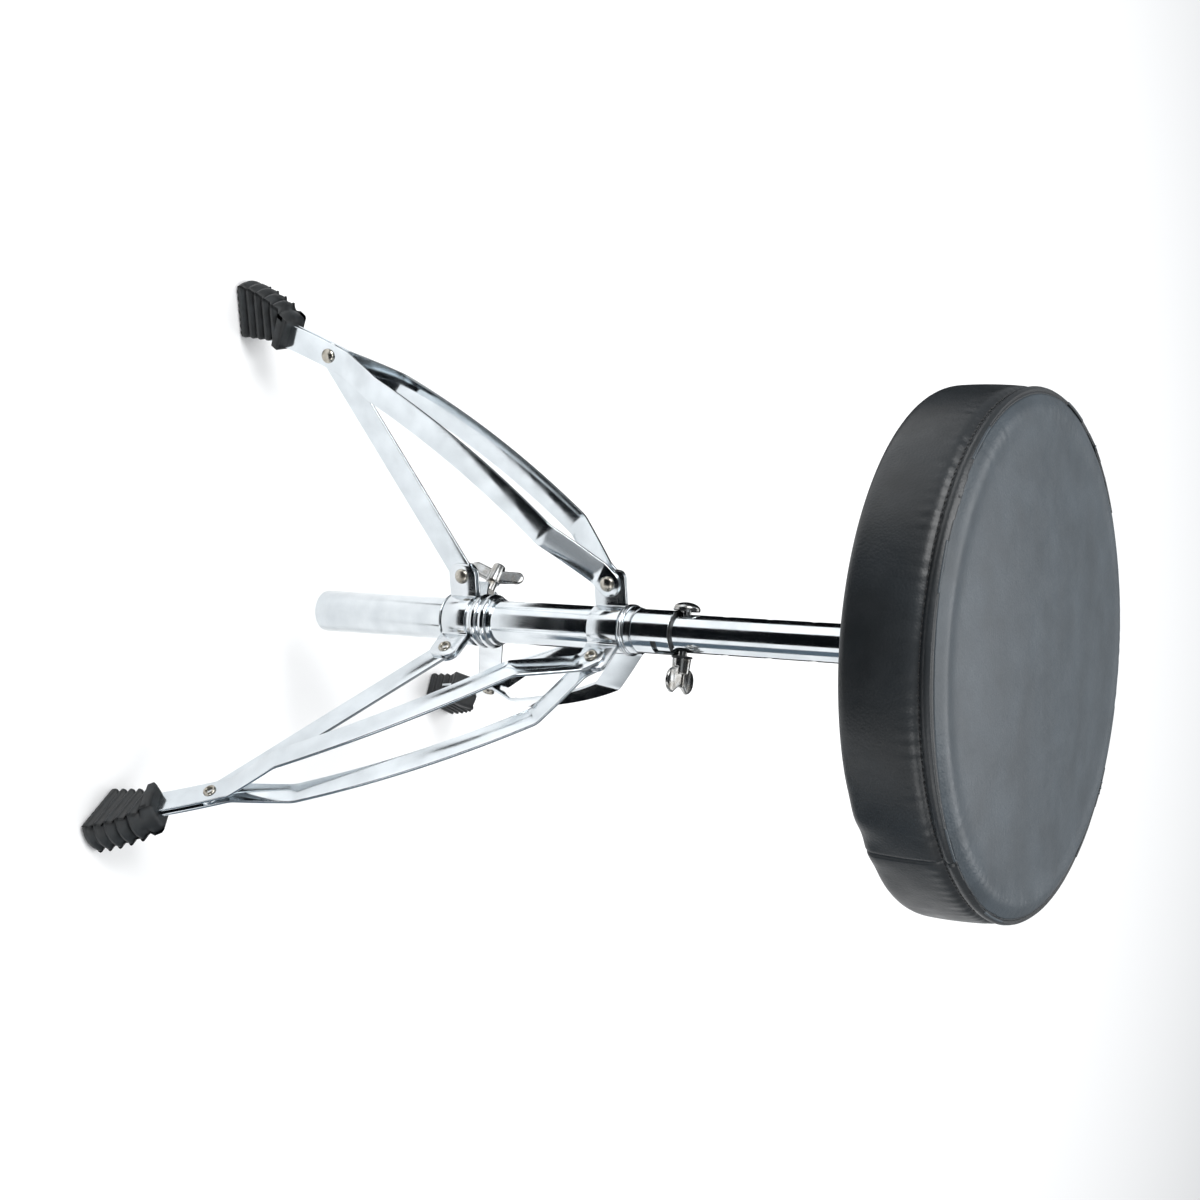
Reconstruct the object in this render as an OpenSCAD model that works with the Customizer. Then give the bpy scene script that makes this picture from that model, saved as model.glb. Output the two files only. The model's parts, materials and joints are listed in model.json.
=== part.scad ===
// Round-seat stool with a folding double-braced tripod.
// Origin: post axis at floor level.  +Z runs up the post, +X points along leg A.

/* [Post] */
// Outside diameter of the fixed outer tube
outer_tube_d = 28; // [26:0.5:32]
// Wall of the outer tube
outer_tube_wall = 1.5; // [1:0.25:1.75]
// Height of the outer tube's open lower end above the floor
outer_tube_bottom = 48; // [30:1:60]
// Height of the outer tube's top rim above the floor
outer_tube_top = 332; // [325:1:380]
// Outside diameter of the sliding inner tube
inner_tube_d = 24; // [20:0.5:24]
// Wall of the inner tube
inner_tube_wall = 1.5; // [1:0.25:2]
// Length of the inner tube
inner_tube_len = 340; // [300:5:380]
// Spacing of the height holes
height_hole_pitch = 30; // [24:1:32]
// Height holes above the one in use
holes_above = 3; // [1:1:4]
// Height holes below the one in use
holes_below = 3; // [1:1:4]
// Diameter of the height bolt
height_bolt_d = 6; // [5:0.5:8]
// Direction of the height bolt's head about the post
height_bolt_azimuth = -18; // [-60:1:60]
// Width of the notch in the outer tube's rim
rim_slot_w = 4; // [3:0.5:6]
// Depth of the notch below the rim
rim_slot_depth = 13; // [8:1:18]
// Direction of the notch about the post
rim_slot_azimuth = 140; // [100:1:170]
// Turn of the notch's side leg about the post
rim_slot_turn = 38; // [20:1:50]

/* [Tripod] */
// Distance of the collar pivots from the post axis
pivot_r = 30; // [29:0.5:34]
// Height of the upper collar's pivots
upper_pivot_z = 284; // [278:1:310]
// Height of the lower collar's pivots when the legs are spread
lower_pivot_z = 169; // [155:1:175]
// Distance of the foot pivots from the post axis when the legs are spread
foot_pivot_r = 178; // [165:1:215]
// Height of the foot pivots above the floor
foot_pivot_z = 70.5; // [66:0.5:76]
// Width of the flat strip that legs and braces are made of
strip_w = 17; // [14:0.5:20]
// Thickness of the strip
strip_t = 2; // [1.5:0.25:2.5]
// Height of the arch along a leg strip
leg_arch = 12.4; // [6:0.2:16]
// Half distance between a leg's strips just below the upper collar
leg_bow_wide = 20.7; // [18.5:0.1:24]
// Half distance between a leg's strips above the foot pivot
leg_bow_narrow = 15.4; // [12:0.1:18]
// Extra bulge of the strips between those two places
leg_bow_bulge = 0.8; // [0:0.1:3]
// Diameter of the rivets
rivet_d = 6; // [5:0.5:7]
// Diameter of the rivet heads
rivet_head_d = 10; // [8:0.5:12]

/* [Collars] */
// Thickness of the collar sheet
collar_t = 1.5; // [1:0.25:2]
// Height of the upper collar's band
upper_band_h = 22; // [18:1:24]
// Height of the upper collar's ears
upper_ear_h = 23; // [20:1:24]
// Height of the lower collar's band
lower_band_h = 18.5; // [16:0.5:20]
// Height of the lower collar's ears
lower_ear_h = 21; // [18:1:22]
// Wall of the sleeve under the lower collar
sleeve_wall = 1.2; // [1:0.1:1.6]
// Outside diameter of the lock ring on the sleeve
lock_ring_d = 36; // [35:0.5:40]
// Height of the lock ring
lock_ring_h = 15; // [12:1:18]
// Diameter of the lock bolt
lock_bolt_d = 8; // [6:0.5:8]
// Direction of the lock bolt about the post
lock_bolt_azimuth = -47; // [-60:1:-46]
// Turn of the lock bolt's wings from upright
lock_wing_turn = 20; // [-20:1:20]

/* [Feet] */
// Width of a rubber foot
foot_w = 24; // [20:1:28]
// Length of a foot's sole
foot_len = 39; // [34:1:44]
// Distance of the heel outwards from the foot pivot
foot_heel = 14.5; // [10:0.5:18]
// Spacing of the foot's fins
fin_pitch = 6.7; // [6:0.1:7]
// Number of fins
fin_count = 5; // [4:1:5]
// Thickness of a fin
fin_t = 4.4; // [3.5:0.1:5]
// Depth of the grooves between the fins
fin_groove = 2.6; // [1:0.1:3.2]
// Number of ridges under the sole
ridge_count = 7; // [5:1:8]
// Height of the ridges under the sole
ridge_h = 1.6; // [1:0.1:2.4]

/* [Seat] */
// Diameter of the seat over its side band
seat_d = 302; // [260:2:360]
// Diameter of the seat at its top seam
seat_top_d = 299; // [256:2:358]
// Height of the seat's lower edge above the floor
seat_bottom = 514; // [505:1:530]
// Height of the side band
seat_side_h = 52; // [44:1:70]
// Crown of the seat's top above the seam
seat_crown = 8; // [4:0.5:12]
// Thickness of the plywood board
board_t = 12; // [9:1:15]
// Thickness of the cover
cover_t = 1.4; // [1:0.1:2]
// Side of the square mounting plate
plate_w = 110; // [96:2:130]
// Thickness of the mounting plate
plate_t = 2.5; // [2:0.25:4]
// Spacing of the plate's screws
plate_screw_pitch = 88; // [76:2:100]
// Diameter of the plate's screws
plate_screw_d = 6; // [5:0.5:8]
// Length of the socket under the plate
socket_len = 58; // [40:1:70]
// Wall of the socket
socket_wall = 2.5; // [2:0.25:3]

/* [Clearances] */
// Gap all round between the inner tube and the outer tube's bush
post_gap = 0.1; // [0.05:0.05:0.1]
// Gap all round between the sliding sleeve and the outer tube
sleeve_gap = 0.3; // [0.2:0.05:0.5]
// Gap all round between a rivet and the piece that turns on it
pivot_gap = 0.08; // [0.02:0.01:0.1]
// Gap beside each piece that turns against another
side_gap = 0.15; // [0.1:0.05:0.3]
// Gap all round in holes that only let a fastener through
hole_gap = 0.5; // [0.3:0.1:1]
// Gap between pieces that are fixed together
fixed_gap = 0.05; // [0.02:0.01:0.1]
// Gap all round between the seat's socket and the inner tube
swivel_gap = 0.1; // [0.05:0.05:0.1]

/* [Hidden] */
$fn = 96;
LEGS = [0, 120, 240];

// Post
outer_r = outer_tube_d / 2;
outer_bore_r = outer_r - outer_tube_wall;
inner_r = inner_tube_d / 2;
bush_h = 24;
bush_lip_h = 1.2;
bolt_rest_gap = 0.2;
height_bolt_z = outer_tube_top + bush_lip_h + height_bolt_d / 2 + bolt_rest_gap;
inner_tube_top = seat_bottom - plate_t - fixed_gap;
inner_tube_bottom = inner_tube_top - inner_tube_len;
clamp_face_r = outer_r + 0.3;
washer_t = 1.2;
wing_nut_r = clamp_face_r + washer_t + side_gap;
wing_nut_h = 22;

// Leg linkage
leg_dr = foot_pivot_r - pivot_r;
leg_dz = upper_pivot_z - foot_pivot_z;
leg_len = norm([leg_dr, leg_dz]);
leg_tilt = atan2(leg_dr, leg_dz);
brace_dz = lower_pivot_z - foot_pivot_z;
brace_len = norm([leg_dr, brace_dz]);
brace_tilt = atan2(leg_dr, brace_dz);
arch_r = (leg_len * leg_len / 4 + leg_arch * leg_arch) / (2 * leg_arch);
arch_half_angle = asin(leg_len / 2 / arch_r);
hole_r = rivet_d / 2 + pivot_gap;

// Strip stations down a leg, from the upper pivot
foot_plane = strip_t + side_gap;
ear_plane = fixed_gap + collar_t + side_gap + strip_t / 2;
station_bend = 9;
station_wide = 48;
station_narrow = leg_len - 50;
station_parallel = leg_len - 13;
station_tip = leg_len + 54;

// Collars
upper_band_z = upper_pivot_z - 11;
upper_band_top = upper_band_z + upper_band_h;
bead_h = 4;
bead_r = outer_r + fixed_gap + collar_t + 1;
cone_h = 5;
sleeve_r = outer_r + sleeve_gap;
sleeve_out_r = sleeve_r + sleeve_wall;
lower_band_z = lower_pivot_z - lower_band_h / 2;
lower_bead_h = 1.4;
sleeve_bottom = lower_pivot_z - lower_ear_h / 2 - lower_bead_h - fixed_gap;
lock_rim_h = 4;
lock_waist_in = 1.4;
lock_waist_short = 2;
lock_mid_h = 4.5;
lock_mid_in = 0.4;
lower_ear_corner = 8;
lock_ring_z = lower_band_z + lower_band_h + 3.5;
sleeve_top = lock_ring_z + lock_ring_h;
lower_ear_plane = strip_t / 2 + side_gap;
lug_r = 27;
lug_half_w = 7;
lug_t = 1.5;
lug_foot_z = lower_pivot_z - 2;
lock_bolt_z = lower_pivot_z + 6;
lock_hub_r = 5;
lock_hub_start = lug_r + 4;
lock_hub_len = 14;

// Feet
heel_r = foot_pivot_r + foot_heel;
toe_r = heel_r + foot_len;
cap_inner_r = heel_r - 9.2;
cap_inner_z = 32;
cap_outer_r = toe_r - 26.2;
cap_outer_z = 42.5;
cap_shoulder_r = toe_r - 21;
cap_shoulder_z = 37.5;

// Seat
seat_r = seat_d / 2;
seam_r = seat_top_d / 2;
seam_z = seat_bottom + seat_side_h;
board_r = seat_r - cover_t - 2;
foam_r = seam_r - cover_t - 0.3;
foam_z = seat_bottom + board_t;
crown_r = (seam_r * seam_r + seat_crown * seat_crown) / (2 * seat_crown);
socket_r = inner_r + swivel_gap;
socket_out_r = socket_r + socket_wall;
socket_z = seat_bottom - plate_t - socket_len;
clamp_z = socket_z + 16;

// ---------- shared shapes ----------

// Hollow round tube standing on height z
module pipe(r_out, r_in, z, h) {
    translate([0, 0, z])
        difference() {
            cylinder(r = r_out, h = h);
            translate([0, 0, -1]) cylinder(r = r_in, h = h + 2);
        }
}

// Rectangle centred on the origin with round corners
module round_rect(w, h, r) {
    square([w - 2 * r, h], center = true);
    square([w, h - 2 * r], center = true);
    for (x = [-1, 1], y = [-1, 1])
        translate([x * (w / 2 - r), y * (h / 2 - r)]) circle(r = r);
}

// Puts x along the radius, y up and z against the direction of rising azimuth
module radial_plane(azimuth) {
    rotate([0, 0, azimuth]) rotate([90, 0, 0]) children();
}

// Puts x down the leg from its upper pivot and y across it, outwards
module leg_frame(azimuth) {
    radial_plane(azimuth)
        translate([pivot_r, upper_pivot_z, 0]) rotate([0, 0, leg_tilt - 90]) children();
}

// Points z radially outwards at a height and azimuth
module radial_axis(azimuth, z) {
    rotate([0, 0, azimuth]) translate([0, 0, z]) rotate([0, 90, 0]) children();
}

// Round bar from radius r0 to r1 along a radial axis
module radial_bar(azimuth, z, r, r0, r1) {
    radial_axis(azimuth, z) translate([0, 0, r0]) cylinder(r = r, h = r1 - r0);
}

// Dome of a given radius and height standing on z = 0
module dome(r, h) {
    ball_r = (r * r + h * h) / (2 * h);
    rotate_extrude()
        intersection() {
            translate([0, h - ball_r]) circle(r = ball_r);
            square([r, h]);
        }
}

// ---------- post ----------

module outer_tube() {
    color("silver")
        difference() {
            pipe(outer_r, outer_bore_r, outer_tube_bottom, outer_tube_top - outer_tube_bottom);
            rim_slot();
        }
}

// Notch in the rim: a straight run down and a short leg round the tube
module rim_slot() {
    run_z = outer_tube_top - rim_slot_depth;
    reach = 2 * outer_r;
    half_turn = asin(rim_slot_w / 2 / outer_r);
    translate([0, 0, run_z]) {
        linear_extrude(rim_slot_w)
            rim_wedge(rim_slot_azimuth - rim_slot_turn, rim_slot_azimuth + half_turn, reach);
        translate([0, 0, rim_slot_w / 2]) linear_extrude(rim_slot_depth)
            rim_wedge(rim_slot_azimuth - half_turn, rim_slot_azimuth + half_turn, reach);
    }
}

// Wedge of the plane between two azimuths
module rim_wedge(from, to, reach) {
    polygon([[0, 0], reach * [cos(from), sin(from)], reach * [cos(to), sin(to)]]);
}

// Nylon bush with a lip on the rim, which guides the inner tube
module tube_bush() {
    color("dimgray")
        difference() {
            union() {
                pipe(outer_bore_r - fixed_gap, inner_r + post_gap, outer_tube_top - bush_h, bush_h);
                pipe(outer_r - 0.4, inner_r + post_gap, outer_tube_top + fixed_gap, bush_lip_h - fixed_gap);
                pipe(outer_bore_r - fixed_gap, inner_r + post_gap, outer_tube_top - 0.1, 0.3);
            }
            rotate([0, 0, rim_slot_azimuth])
                translate([inner_r - 1, -rim_slot_w / 2, outer_tube_top - rim_slot_depth])
                    cube([outer_r, rim_slot_w, rim_slot_depth + bush_lip_h + 1]);
        }
}

// Rolled bead and short cone above the upper collar
module upper_bead_ring() {
    z = upper_band_top + 1;
    inner = outer_r + fixed_gap;
    color("silver")
        rotate_extrude()
            polygon([
                [inner, z], [bead_r - 0.6, z], [bead_r, z + 0.8], [bead_r, z + bead_h - 0.8],
                [bead_r - 0.6, z + bead_h], [inner + 0.4, z + bead_h + cone_h],
                [inner, z + bead_h + cone_h]
            ]);
}

// ---------- collars ----------

// Sector of the plane between two ears, each ear's inner face standing off by gap
module ear_sector(gap) {
    far = 3 * pivot_r;
    apex = gap / sin(60);
    rotate([0, 0, 60]) translate([apex, 0])
        polygon([[0, 0], far * [cos(60), -sin(60)], [2 * far, 0], far * [cos(60), sin(60)]]);
}

// Outline of an ear in the radial plane, from the band to beyond the pivot
module ear_outline(root_r, ear_h, corner_r) {
    end_r = pivot_r + strip_w / 2;
    translate([(root_r + end_r) / 2, 0]) round_rect(end_r - root_r, ear_h, corner_r);
    translate([root_r, -ear_h / 2]) square([2 * corner_r, ear_h]);
}

// One pressed third of a collar: a curved band with an ear at each end
module collar_third(azimuth, band_r, band_z, band_h, pivot_z, ear_h, gap, corner_r) {
    rotate([0, 0, azimuth])
        union() {
            intersection() {
                rotate([0, 0, -120]) pipe(band_r + collar_t, band_r, band_z, band_h);
                translate([0, 0, band_z - 1]) linear_extrude(band_h + 2) ear_sector(gap + collar_t / 4);
            }
            for (side = [0, 1])
                rotate([0, 0, side * 120])
                    mirror([0, side, 0])
                        difference() {
                            translate([0, gap + collar_t, pivot_z]) rotate([90, 0, 0])
                                linear_extrude(collar_t)
                                    ear_outline(band_r + collar_t / 2, ear_h, corner_r);
                            translate([pivot_r, -1, pivot_z]) rotate([-90, 0, 0])
                                cylinder(r = rivet_d / 2 + fixed_gap, h = gap + collar_t + 2);
                        }
        }
}

module upper_collar_third(azimuth) {
    color("silver")
        collar_third(azimuth, outer_r + fixed_gap, upper_band_z, upper_band_h,
            upper_pivot_z, upper_ear_h, fixed_gap, 5);
}

module lower_collar_third(azimuth) {
    color("silver")
        difference() {
            collar_third(azimuth, sleeve_out_r + fixed_gap, lower_band_z, lower_band_h,
                lower_pivot_z, lower_ear_h, lower_ear_plane, lower_ear_corner);
            lug_clearance();
        }
}

// Rivet with a dome head on one side and a rolled tail on the other
module rivet(half_grip, shank_r) {
    head_r = rivet_head_d / 2;
    tail_r = head_r * 0.86;
    tail_h = 1.6;
    translate([0, 0, -half_grip]) cylinder(r = shank_r, h = 2 * half_grip);
    translate([0, 0, -half_grip]) rotate([180, 0, 0]) dome(head_r, 3);
    translate([0, 0, half_grip])
        difference() {
            cylinder(r = tail_r, h = tail_h);
            translate([0, 0, 0.4]) cylinder(r = tail_r * 0.55, h = tail_h);
        }
}

module upper_rivets() {
    half_grip = ear_plane + strip_t / 2 + side_gap;
    color("gainsboro")
        for (azimuth = LEGS)
            leg_frame(azimuth) rivet(half_grip, rivet_d / 2);
}

module lower_rivets() {
    half_grip = lower_ear_plane + collar_t + fixed_gap;
    color("gainsboro")
        for (azimuth = LEGS)
            radial_plane(azimuth) translate([pivot_r, lower_pivot_z, 0]) rivet(half_grip, rivet_d / 2);
}

// Sleeve that slides on the outer tube, with a bead below and the lock ring above
module slide_sleeve() {
    ring_r = lock_ring_d / 2;
    mid_z = lock_ring_z + lock_ring_h / 2;
    color("silver")
        difference() {
            union() {
                pipe(sleeve_out_r, sleeve_r, sleeve_bottom, sleeve_top - sleeve_bottom);
                pipe(sleeve_out_r + collar_t, sleeve_r, sleeve_bottom, lower_bead_h);
                pipe(ring_r, sleeve_r, lock_ring_z, lock_rim_h);
                pipe(ring_r - lock_waist_in, sleeve_r, lock_ring_z, lock_ring_h - lock_waist_short);
                pipe(ring_r - lock_mid_in, sleeve_r, mid_z, lock_mid_h);
            }
            radial_bar(lock_bolt_azimuth, lock_bolt_z, lock_bolt_d / 2 + hole_gap, 0, ring_r + 2);
        }
}

// Room for the lock bracket and bolt in the lower collar's band
module lug_clearance() {
    rotate([0, 0, lock_bolt_azimuth])
        translate([sleeve_r, -lug_half_w - fixed_gap, lug_foot_z - fixed_gap])
            cube([20, 2 * (lug_half_w + fixed_gap), lower_band_h + 10]);
}

// Saddle with two triangular cheeks that carries the lock nut
module lock_bracket() {
    root_r = sleeve_out_r + fixed_gap;
    head_z = lock_ring_z - fixed_gap;
    color("silver")
        difference() {
            union() {
                for (side = [-1, 1])
                    radial_plane(lock_bolt_azimuth)
                        translate([0, 0, side * (lug_half_w - lug_t / 2) - lug_t / 2])
                            linear_extrude(lug_t)
                                polygon([[root_r - 1, lug_foot_z], [lug_r, lug_foot_z + 3],
                                    [lug_r, head_z - 4], [root_r - 1, head_z]]);
                rotate([0, 0, lock_bolt_azimuth])
                    translate([lug_r - 2 * lug_t, -lug_half_w + 0.1, lug_foot_z + 3])
                        cube([2 * lug_t, 2 * lug_half_w - 0.2, head_z - lug_foot_z - 7]);
            }
            cylinder(r = root_r, h = upper_pivot_z);
            radial_bar(lock_bolt_azimuth, lock_bolt_z, lock_bolt_d / 2 + hole_gap, 0, lug_r + 2);
        }
}

// Hexagon nut under the saddle's bridge
module lock_nut() {
    nut_r = 5.2;
    nut_h = 4;
    color("gainsboro")
        difference() {
            radial_axis(lock_bolt_azimuth, lock_bolt_z)
                translate([0, 0, lug_r - 2 * lug_t - nut_h - fixed_gap])
                    cylinder(r = min(nut_r, lug_half_w - lug_t - fixed_gap), h = nut_h, $fn = 6);
            radial_bar(lock_bolt_azimuth, lock_bolt_z, lock_bolt_d / 2 - 0.4 + pivot_gap, 0, lug_r);
        }
}

// Pair of flat wings with round ends, standing on the axis and spreading along x
module wings(span, root, thickness, tall) {
    tip = tall * 0.36;
    rotate([90, 0, 0])
        translate([0, 0, -thickness / 2])
            linear_extrude(thickness)
                for (side = [0, 1])
                    mirror([side, 0])
                        union() {
                            polygon([[0, root], [span / 2 - tip, tall - 2 * tip],
                                [span / 2 - tip, tall], [0, tall * 0.72]]);
                            translate([span / 2 - tip, tall - tip]) circle(r = tip);
                        }
}

// Thumb bolt whose tip bears on the outer tube
module lock_bolt() {
    shank_r = lock_bolt_d / 2 - 0.4;
    color("gainsboro") {
        radial_bar(lock_bolt_azimuth, lock_bolt_z, shank_r, outer_r + 0.25, lock_hub_start + 1);
        radial_axis(lock_bolt_azimuth, lock_bolt_z)
            translate([0, 0, lock_hub_start]) {
                cylinder(r = lock_hub_r, h = lock_hub_len);
                rotate([0, 0, lock_wing_turn]) wings(39, 0, 3, 13);
            }
    }
}

// ---------- legs and braces ----------

// Half distance between a leg's strips at a station down the leg
function bow(x) =
    x <= station_bend ? ear_plane
    : x <= station_wide
        ? ear_plane + (leg_bow_wide - ear_plane) * (x - station_bend) / (station_wide - station_bend)
    : x <= station_narrow ? bow_belly((x - station_wide) / (station_narrow - station_wide))
    : x <= station_parallel
        ? leg_bow_narrow + (foot_plane - leg_bow_narrow) * (x - station_narrow)
            / (station_parallel - station_narrow)
    : foot_plane;
function bow_belly(u) =
    leg_bow_wide + (leg_bow_narrow - leg_bow_wide) * u + 4 * leg_bow_bulge * u * (1 - u);

belly_steps = 8;
bow_stations = concat(
    [-strip_w, station_bend],
    [for (i = [0:belly_steps]) station_wide + (station_narrow - station_wide) * i / belly_steps],
    [station_parallel, station_tip]
);
bow_path = [for (x = bow_stations) [x, bow(x)]];

function unit(v) = v / norm(v);
function left_of(v) = [-v[1], v[0]];

// Path moved sideways by half the strip's thickness, with mitred bends
function offset_path(path, d) = [
    for (i = [0:len(path) - 1])
        let (
            before = unit(path[max(i, 1)] - path[max(i, 1) - 1]),
            after = unit(path[min(i + 1, len(path) - 1)] - path[min(i, len(path) - 2)]),
            middle = unit(before + after)
        )
        path[i] + left_of(middle) * d / (middle * before)
];
function reversed(list) = [for (i = [len(list) - 1:-1:0]) list[i]];

// Bent side view of a strip, x down the leg and y sideways
module strip_side() {
    polygon(concat(offset_path(bow_path, strip_t / 2), reversed(offset_path(bow_path, -strip_t / 2))));
}

// Flat arched outline of a strip, x down the leg and y across it
module strip_face() {
    centre = [leg_len / 2, leg_arch - arch_r];
    reach = 2 * arch_r;
    tip_angle = asin((station_tip - leg_len / 2) / arch_r);
    circle(r = strip_w / 2);
    intersection() {
        translate(centre)
            difference() {
                circle(r = arch_r + strip_w / 2, $fn = 360);
                circle(r = arch_r - strip_w / 2, $fn = 360);
            }
        translate(centre)
            polygon([[0, 0], reach * [-sin(arch_half_angle), cos(arch_half_angle)],
                reach * [sin(tip_angle), cos(tip_angle)]]);
    }
}

// Leg strip: side = 1 lies towards rising azimuth, -1 against it
module leg_strip(azimuth, side) {
    color("silver")
        leg_frame(azimuth)
            mirror([0, 0, side > 0 ? 1 : 0])
                difference() {
                    intersection() {
                        translate([0, 0, -strip_w]) linear_extrude(3 * strip_w) strip_face();
                        translate([0, 3 * strip_w, 0]) rotate([90, 0, 0])
                            linear_extrude(6 * strip_w) strip_side();
                    }
                    for (x = [0, leg_len])
                        translate([x, 0, 0]) cylinder(r = hole_r, h = 3 * strip_w);
                }
}

// Foot rivet: a head stub and a tail stub, with nothing between the strips
module leg_rivet(azimuth) {
    inner = foot_plane - strip_t / 2;
    outer = foot_plane + strip_t / 2;
    color("gainsboro")
        leg_frame(azimuth) translate([leg_len, 0, 0])
            difference() {
                rivet(outer + fixed_gap, rivet_d / 2);
                translate([0, 0, -inner]) cylinder(r = rivet_head_d, h = 2 * inner);
            }
}

module brace(azimuth) {
    color("silver")
        radial_plane(azimuth)
            translate([pivot_r, lower_pivot_z, 0])
                rotate([0, 0, brace_tilt - 90])
                    translate([0, 0, -strip_t / 2])
                        linear_extrude(strip_t)
                            difference() {
                                union() {
                                    translate([0, -strip_w / 2]) square([brace_len, strip_w]);
                                    circle(r = strip_w / 2);
                                    translate([brace_len, 0]) circle(r = strip_w / 2);
                                }
                                circle(r = hole_r);
                                translate([brace_len, 0]) circle(r = hole_r);
                            }
}

// Toe of fin k, counted up from the sole
function fin_toe(k) = toe_r - 2.1 * k - 0.42 * k * k;
function fin_heel(k) = heel_r - 0.9 * k;

// Plan of a fin: straight sides, square heel and a rounded toe
module fin_plan(k, inset) {
    half = foot_w / 2 - inset;
    bulge = 3.5;
    toe_round = (foot_w * foot_w / 4 + bulge * bulge) / (2 * bulge);
    intersection() {
        translate([fin_heel(k) + inset, -half]) square([fin_toe(k) - fin_heel(k) - 2 * inset, 2 * half]);
        translate([fin_toe(k) - toe_round - inset, 0]) circle(r = toe_round);
    }
}

// Rubber foot that grips the two strip ends and stands on ridges
module leg_foot(azimuth) {
    ridge_pitch = (foot_len - 6) / ridge_count;
    color("dimgray")
        difference() {
            rotate([0, 0, azimuth])
                union() {
                    for (k = [0:fin_count - 1])
                        translate([0, 0, ridge_h + k * fin_pitch]) {
                            linear_extrude(fin_t) fin_plan(k, 0);
                            linear_extrude(fin_pitch + 0.1) fin_plan(k, fin_groove);
                        }
                    translate([0, foot_w / 2, 0]) rotate([90, 0, 0])
                        linear_extrude(foot_w)
                            polygon([
                                [cap_inner_r + 5, cap_inner_z - 8], [cap_inner_r, cap_inner_z],
                                [cap_outer_r, cap_outer_z], [cap_shoulder_r, cap_shoulder_z],
                                [fin_toe(fin_count - 1) - 2, ridge_h + fin_count * fin_pitch - 2.4],
                                [fin_toe(fin_count - 1) - 4, ridge_h + fin_count * fin_pitch - 4]
                            ]);
                    for (i = [0:ridge_count - 1])
                        translate([heel_r + 2 + i * ridge_pitch, -foot_w / 2 + 1.5, 0])
                            cube([ridge_pitch * 0.55, foot_w - 3, ridge_h + 0.2]);
                }
            foot_pocket(azimuth);
        }
}

// Slots for the two strip ends, a fixed gap larger all round
module foot_pocket(azimuth) {
    tip_x = station_tip + fixed_gap;
    far = leg_len + 20;
    leg_frame(azimuth)
        for (side = [-1, 1])
            translate([0, 0, side * foot_plane - strip_t / 2 - fixed_gap])
                linear_extrude(strip_t + 2 * fixed_gap)
                    intersection() {
                        translate([leg_len / 2, leg_arch - arch_r])
                            difference() {
                                circle(r = arch_r + strip_w / 2 + fixed_gap, $fn = 360);
                                circle(r = arch_r - strip_w / 2 - fixed_gap, $fn = 360);
                            }
                        translate([far, -4 * strip_w]) square([tip_x - far, 5 * strip_w]);
                    }
}

// ---------- seat post ----------

module inner_tube() {
    color("silver")
        difference() {
            pipe(inner_r, inner_r - inner_tube_wall, inner_tube_bottom, inner_tube_len);
            for (i = [-holes_below:holes_above])
                radial_bar(height_bolt_azimuth, height_bolt_z + i * height_hole_pitch,
                    height_bolt_d / 2 + hole_gap, -outer_r, outer_r);
        }
}

// Round-headed bolt through the inner tube, resting on the bush
module height_bolt() {
    head_r = height_bolt_d * 1.42;
    reach = wing_nut_r + wing_nut_h - 3;
    color("gainsboro") {
        radial_bar(height_bolt_azimuth, height_bolt_z, height_bolt_d / 2, -reach, clamp_face_r + 1);
        radial_axis(height_bolt_azimuth, height_bolt_z)
            translate([0, 0, clamp_face_r]) dome(head_r, height_bolt_d * 0.8);
    }
}

module height_washer() {
    color("gainsboro")
        radial_axis(height_bolt_azimuth + 180, height_bolt_z)
            translate([0, 0, clamp_face_r])
                difference() {
                    cylinder(r = height_bolt_d * 1.1, h = washer_t);
                    translate([0, 0, -1]) cylinder(r = height_bolt_d / 2 + hole_gap, h = washer_t + 2);
                }
}

module wing_nut() {
    color("gainsboro")
        radial_axis(height_bolt_azimuth + 180, height_bolt_z)
            translate([0, 0, wing_nut_r])
                difference() {
                    union() {
                        cylinder(r = height_bolt_d * 0.95, h = wing_nut_h * 0.45);
                        rotate([0, 0, 90]) wings(33, 2, 3, wing_nut_h);
                    }
                    translate([0, 0, -1]) cylinder(r = height_bolt_d / 2 + pivot_gap, h = 2 * wing_nut_h);
                }
}

// ---------- seat ----------

module seat_plate() {
    color("dimgray")
        translate([0, 0, seat_bottom - plate_t])
            difference() {
                linear_extrude(plate_t) round_rect(plate_w, plate_w, 12);
                plate_screw_places() translate([0, 0, -1]) cylinder(r = plate_screw_d / 2 + hole_gap, h = 10);
            }
}

module plate_screw_places() {
    for (x = [-1, 1], y = [-1, 1])
        translate([x * plate_screw_pitch / 2, y * plate_screw_pitch / 2, 0]) children();
}

// Socket with two clamp lugs, slit towards -Y
module seat_socket() {
    lug_w = 12;
    slit = 3;
    color("dimgray")
        difference() {
            union() {
                pipe(socket_out_r, socket_r, socket_z, socket_len - fixed_gap);
                for (side = [-1, 1])
                    translate([side * (slit / 2 + 1.5) - 1.5, -socket_out_r - lug_w, clamp_z - 9])
                        cube([3, lug_w + 2, 18]);
            }
            translate([-slit / 2, -3 * socket_out_r, socket_z - 1]) cube([slit, 3 * socket_out_r, 34]);
            cylinder(r = socket_r, h = seat_bottom);
            translate([-20, -socket_out_r - lug_w / 2, clamp_z]) rotate([0, 90, 0])
                cylinder(r = plate_screw_d / 2 + hole_gap, h = 40);
        }
}

module clamp_axis() {
    translate([0, -socket_out_r - 6, clamp_z]) rotate([0, 90, 0]) children();
}

module clamp_bolt() {
    color("gainsboro")
        clamp_axis() {
            translate([0, 0, -5]) cylinder(r = plate_screw_d / 2, h = 17);
            translate([0, 0, -9]) cylinder(r = 5.6, h = 4.4, $fn = 6);
        }
}

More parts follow.
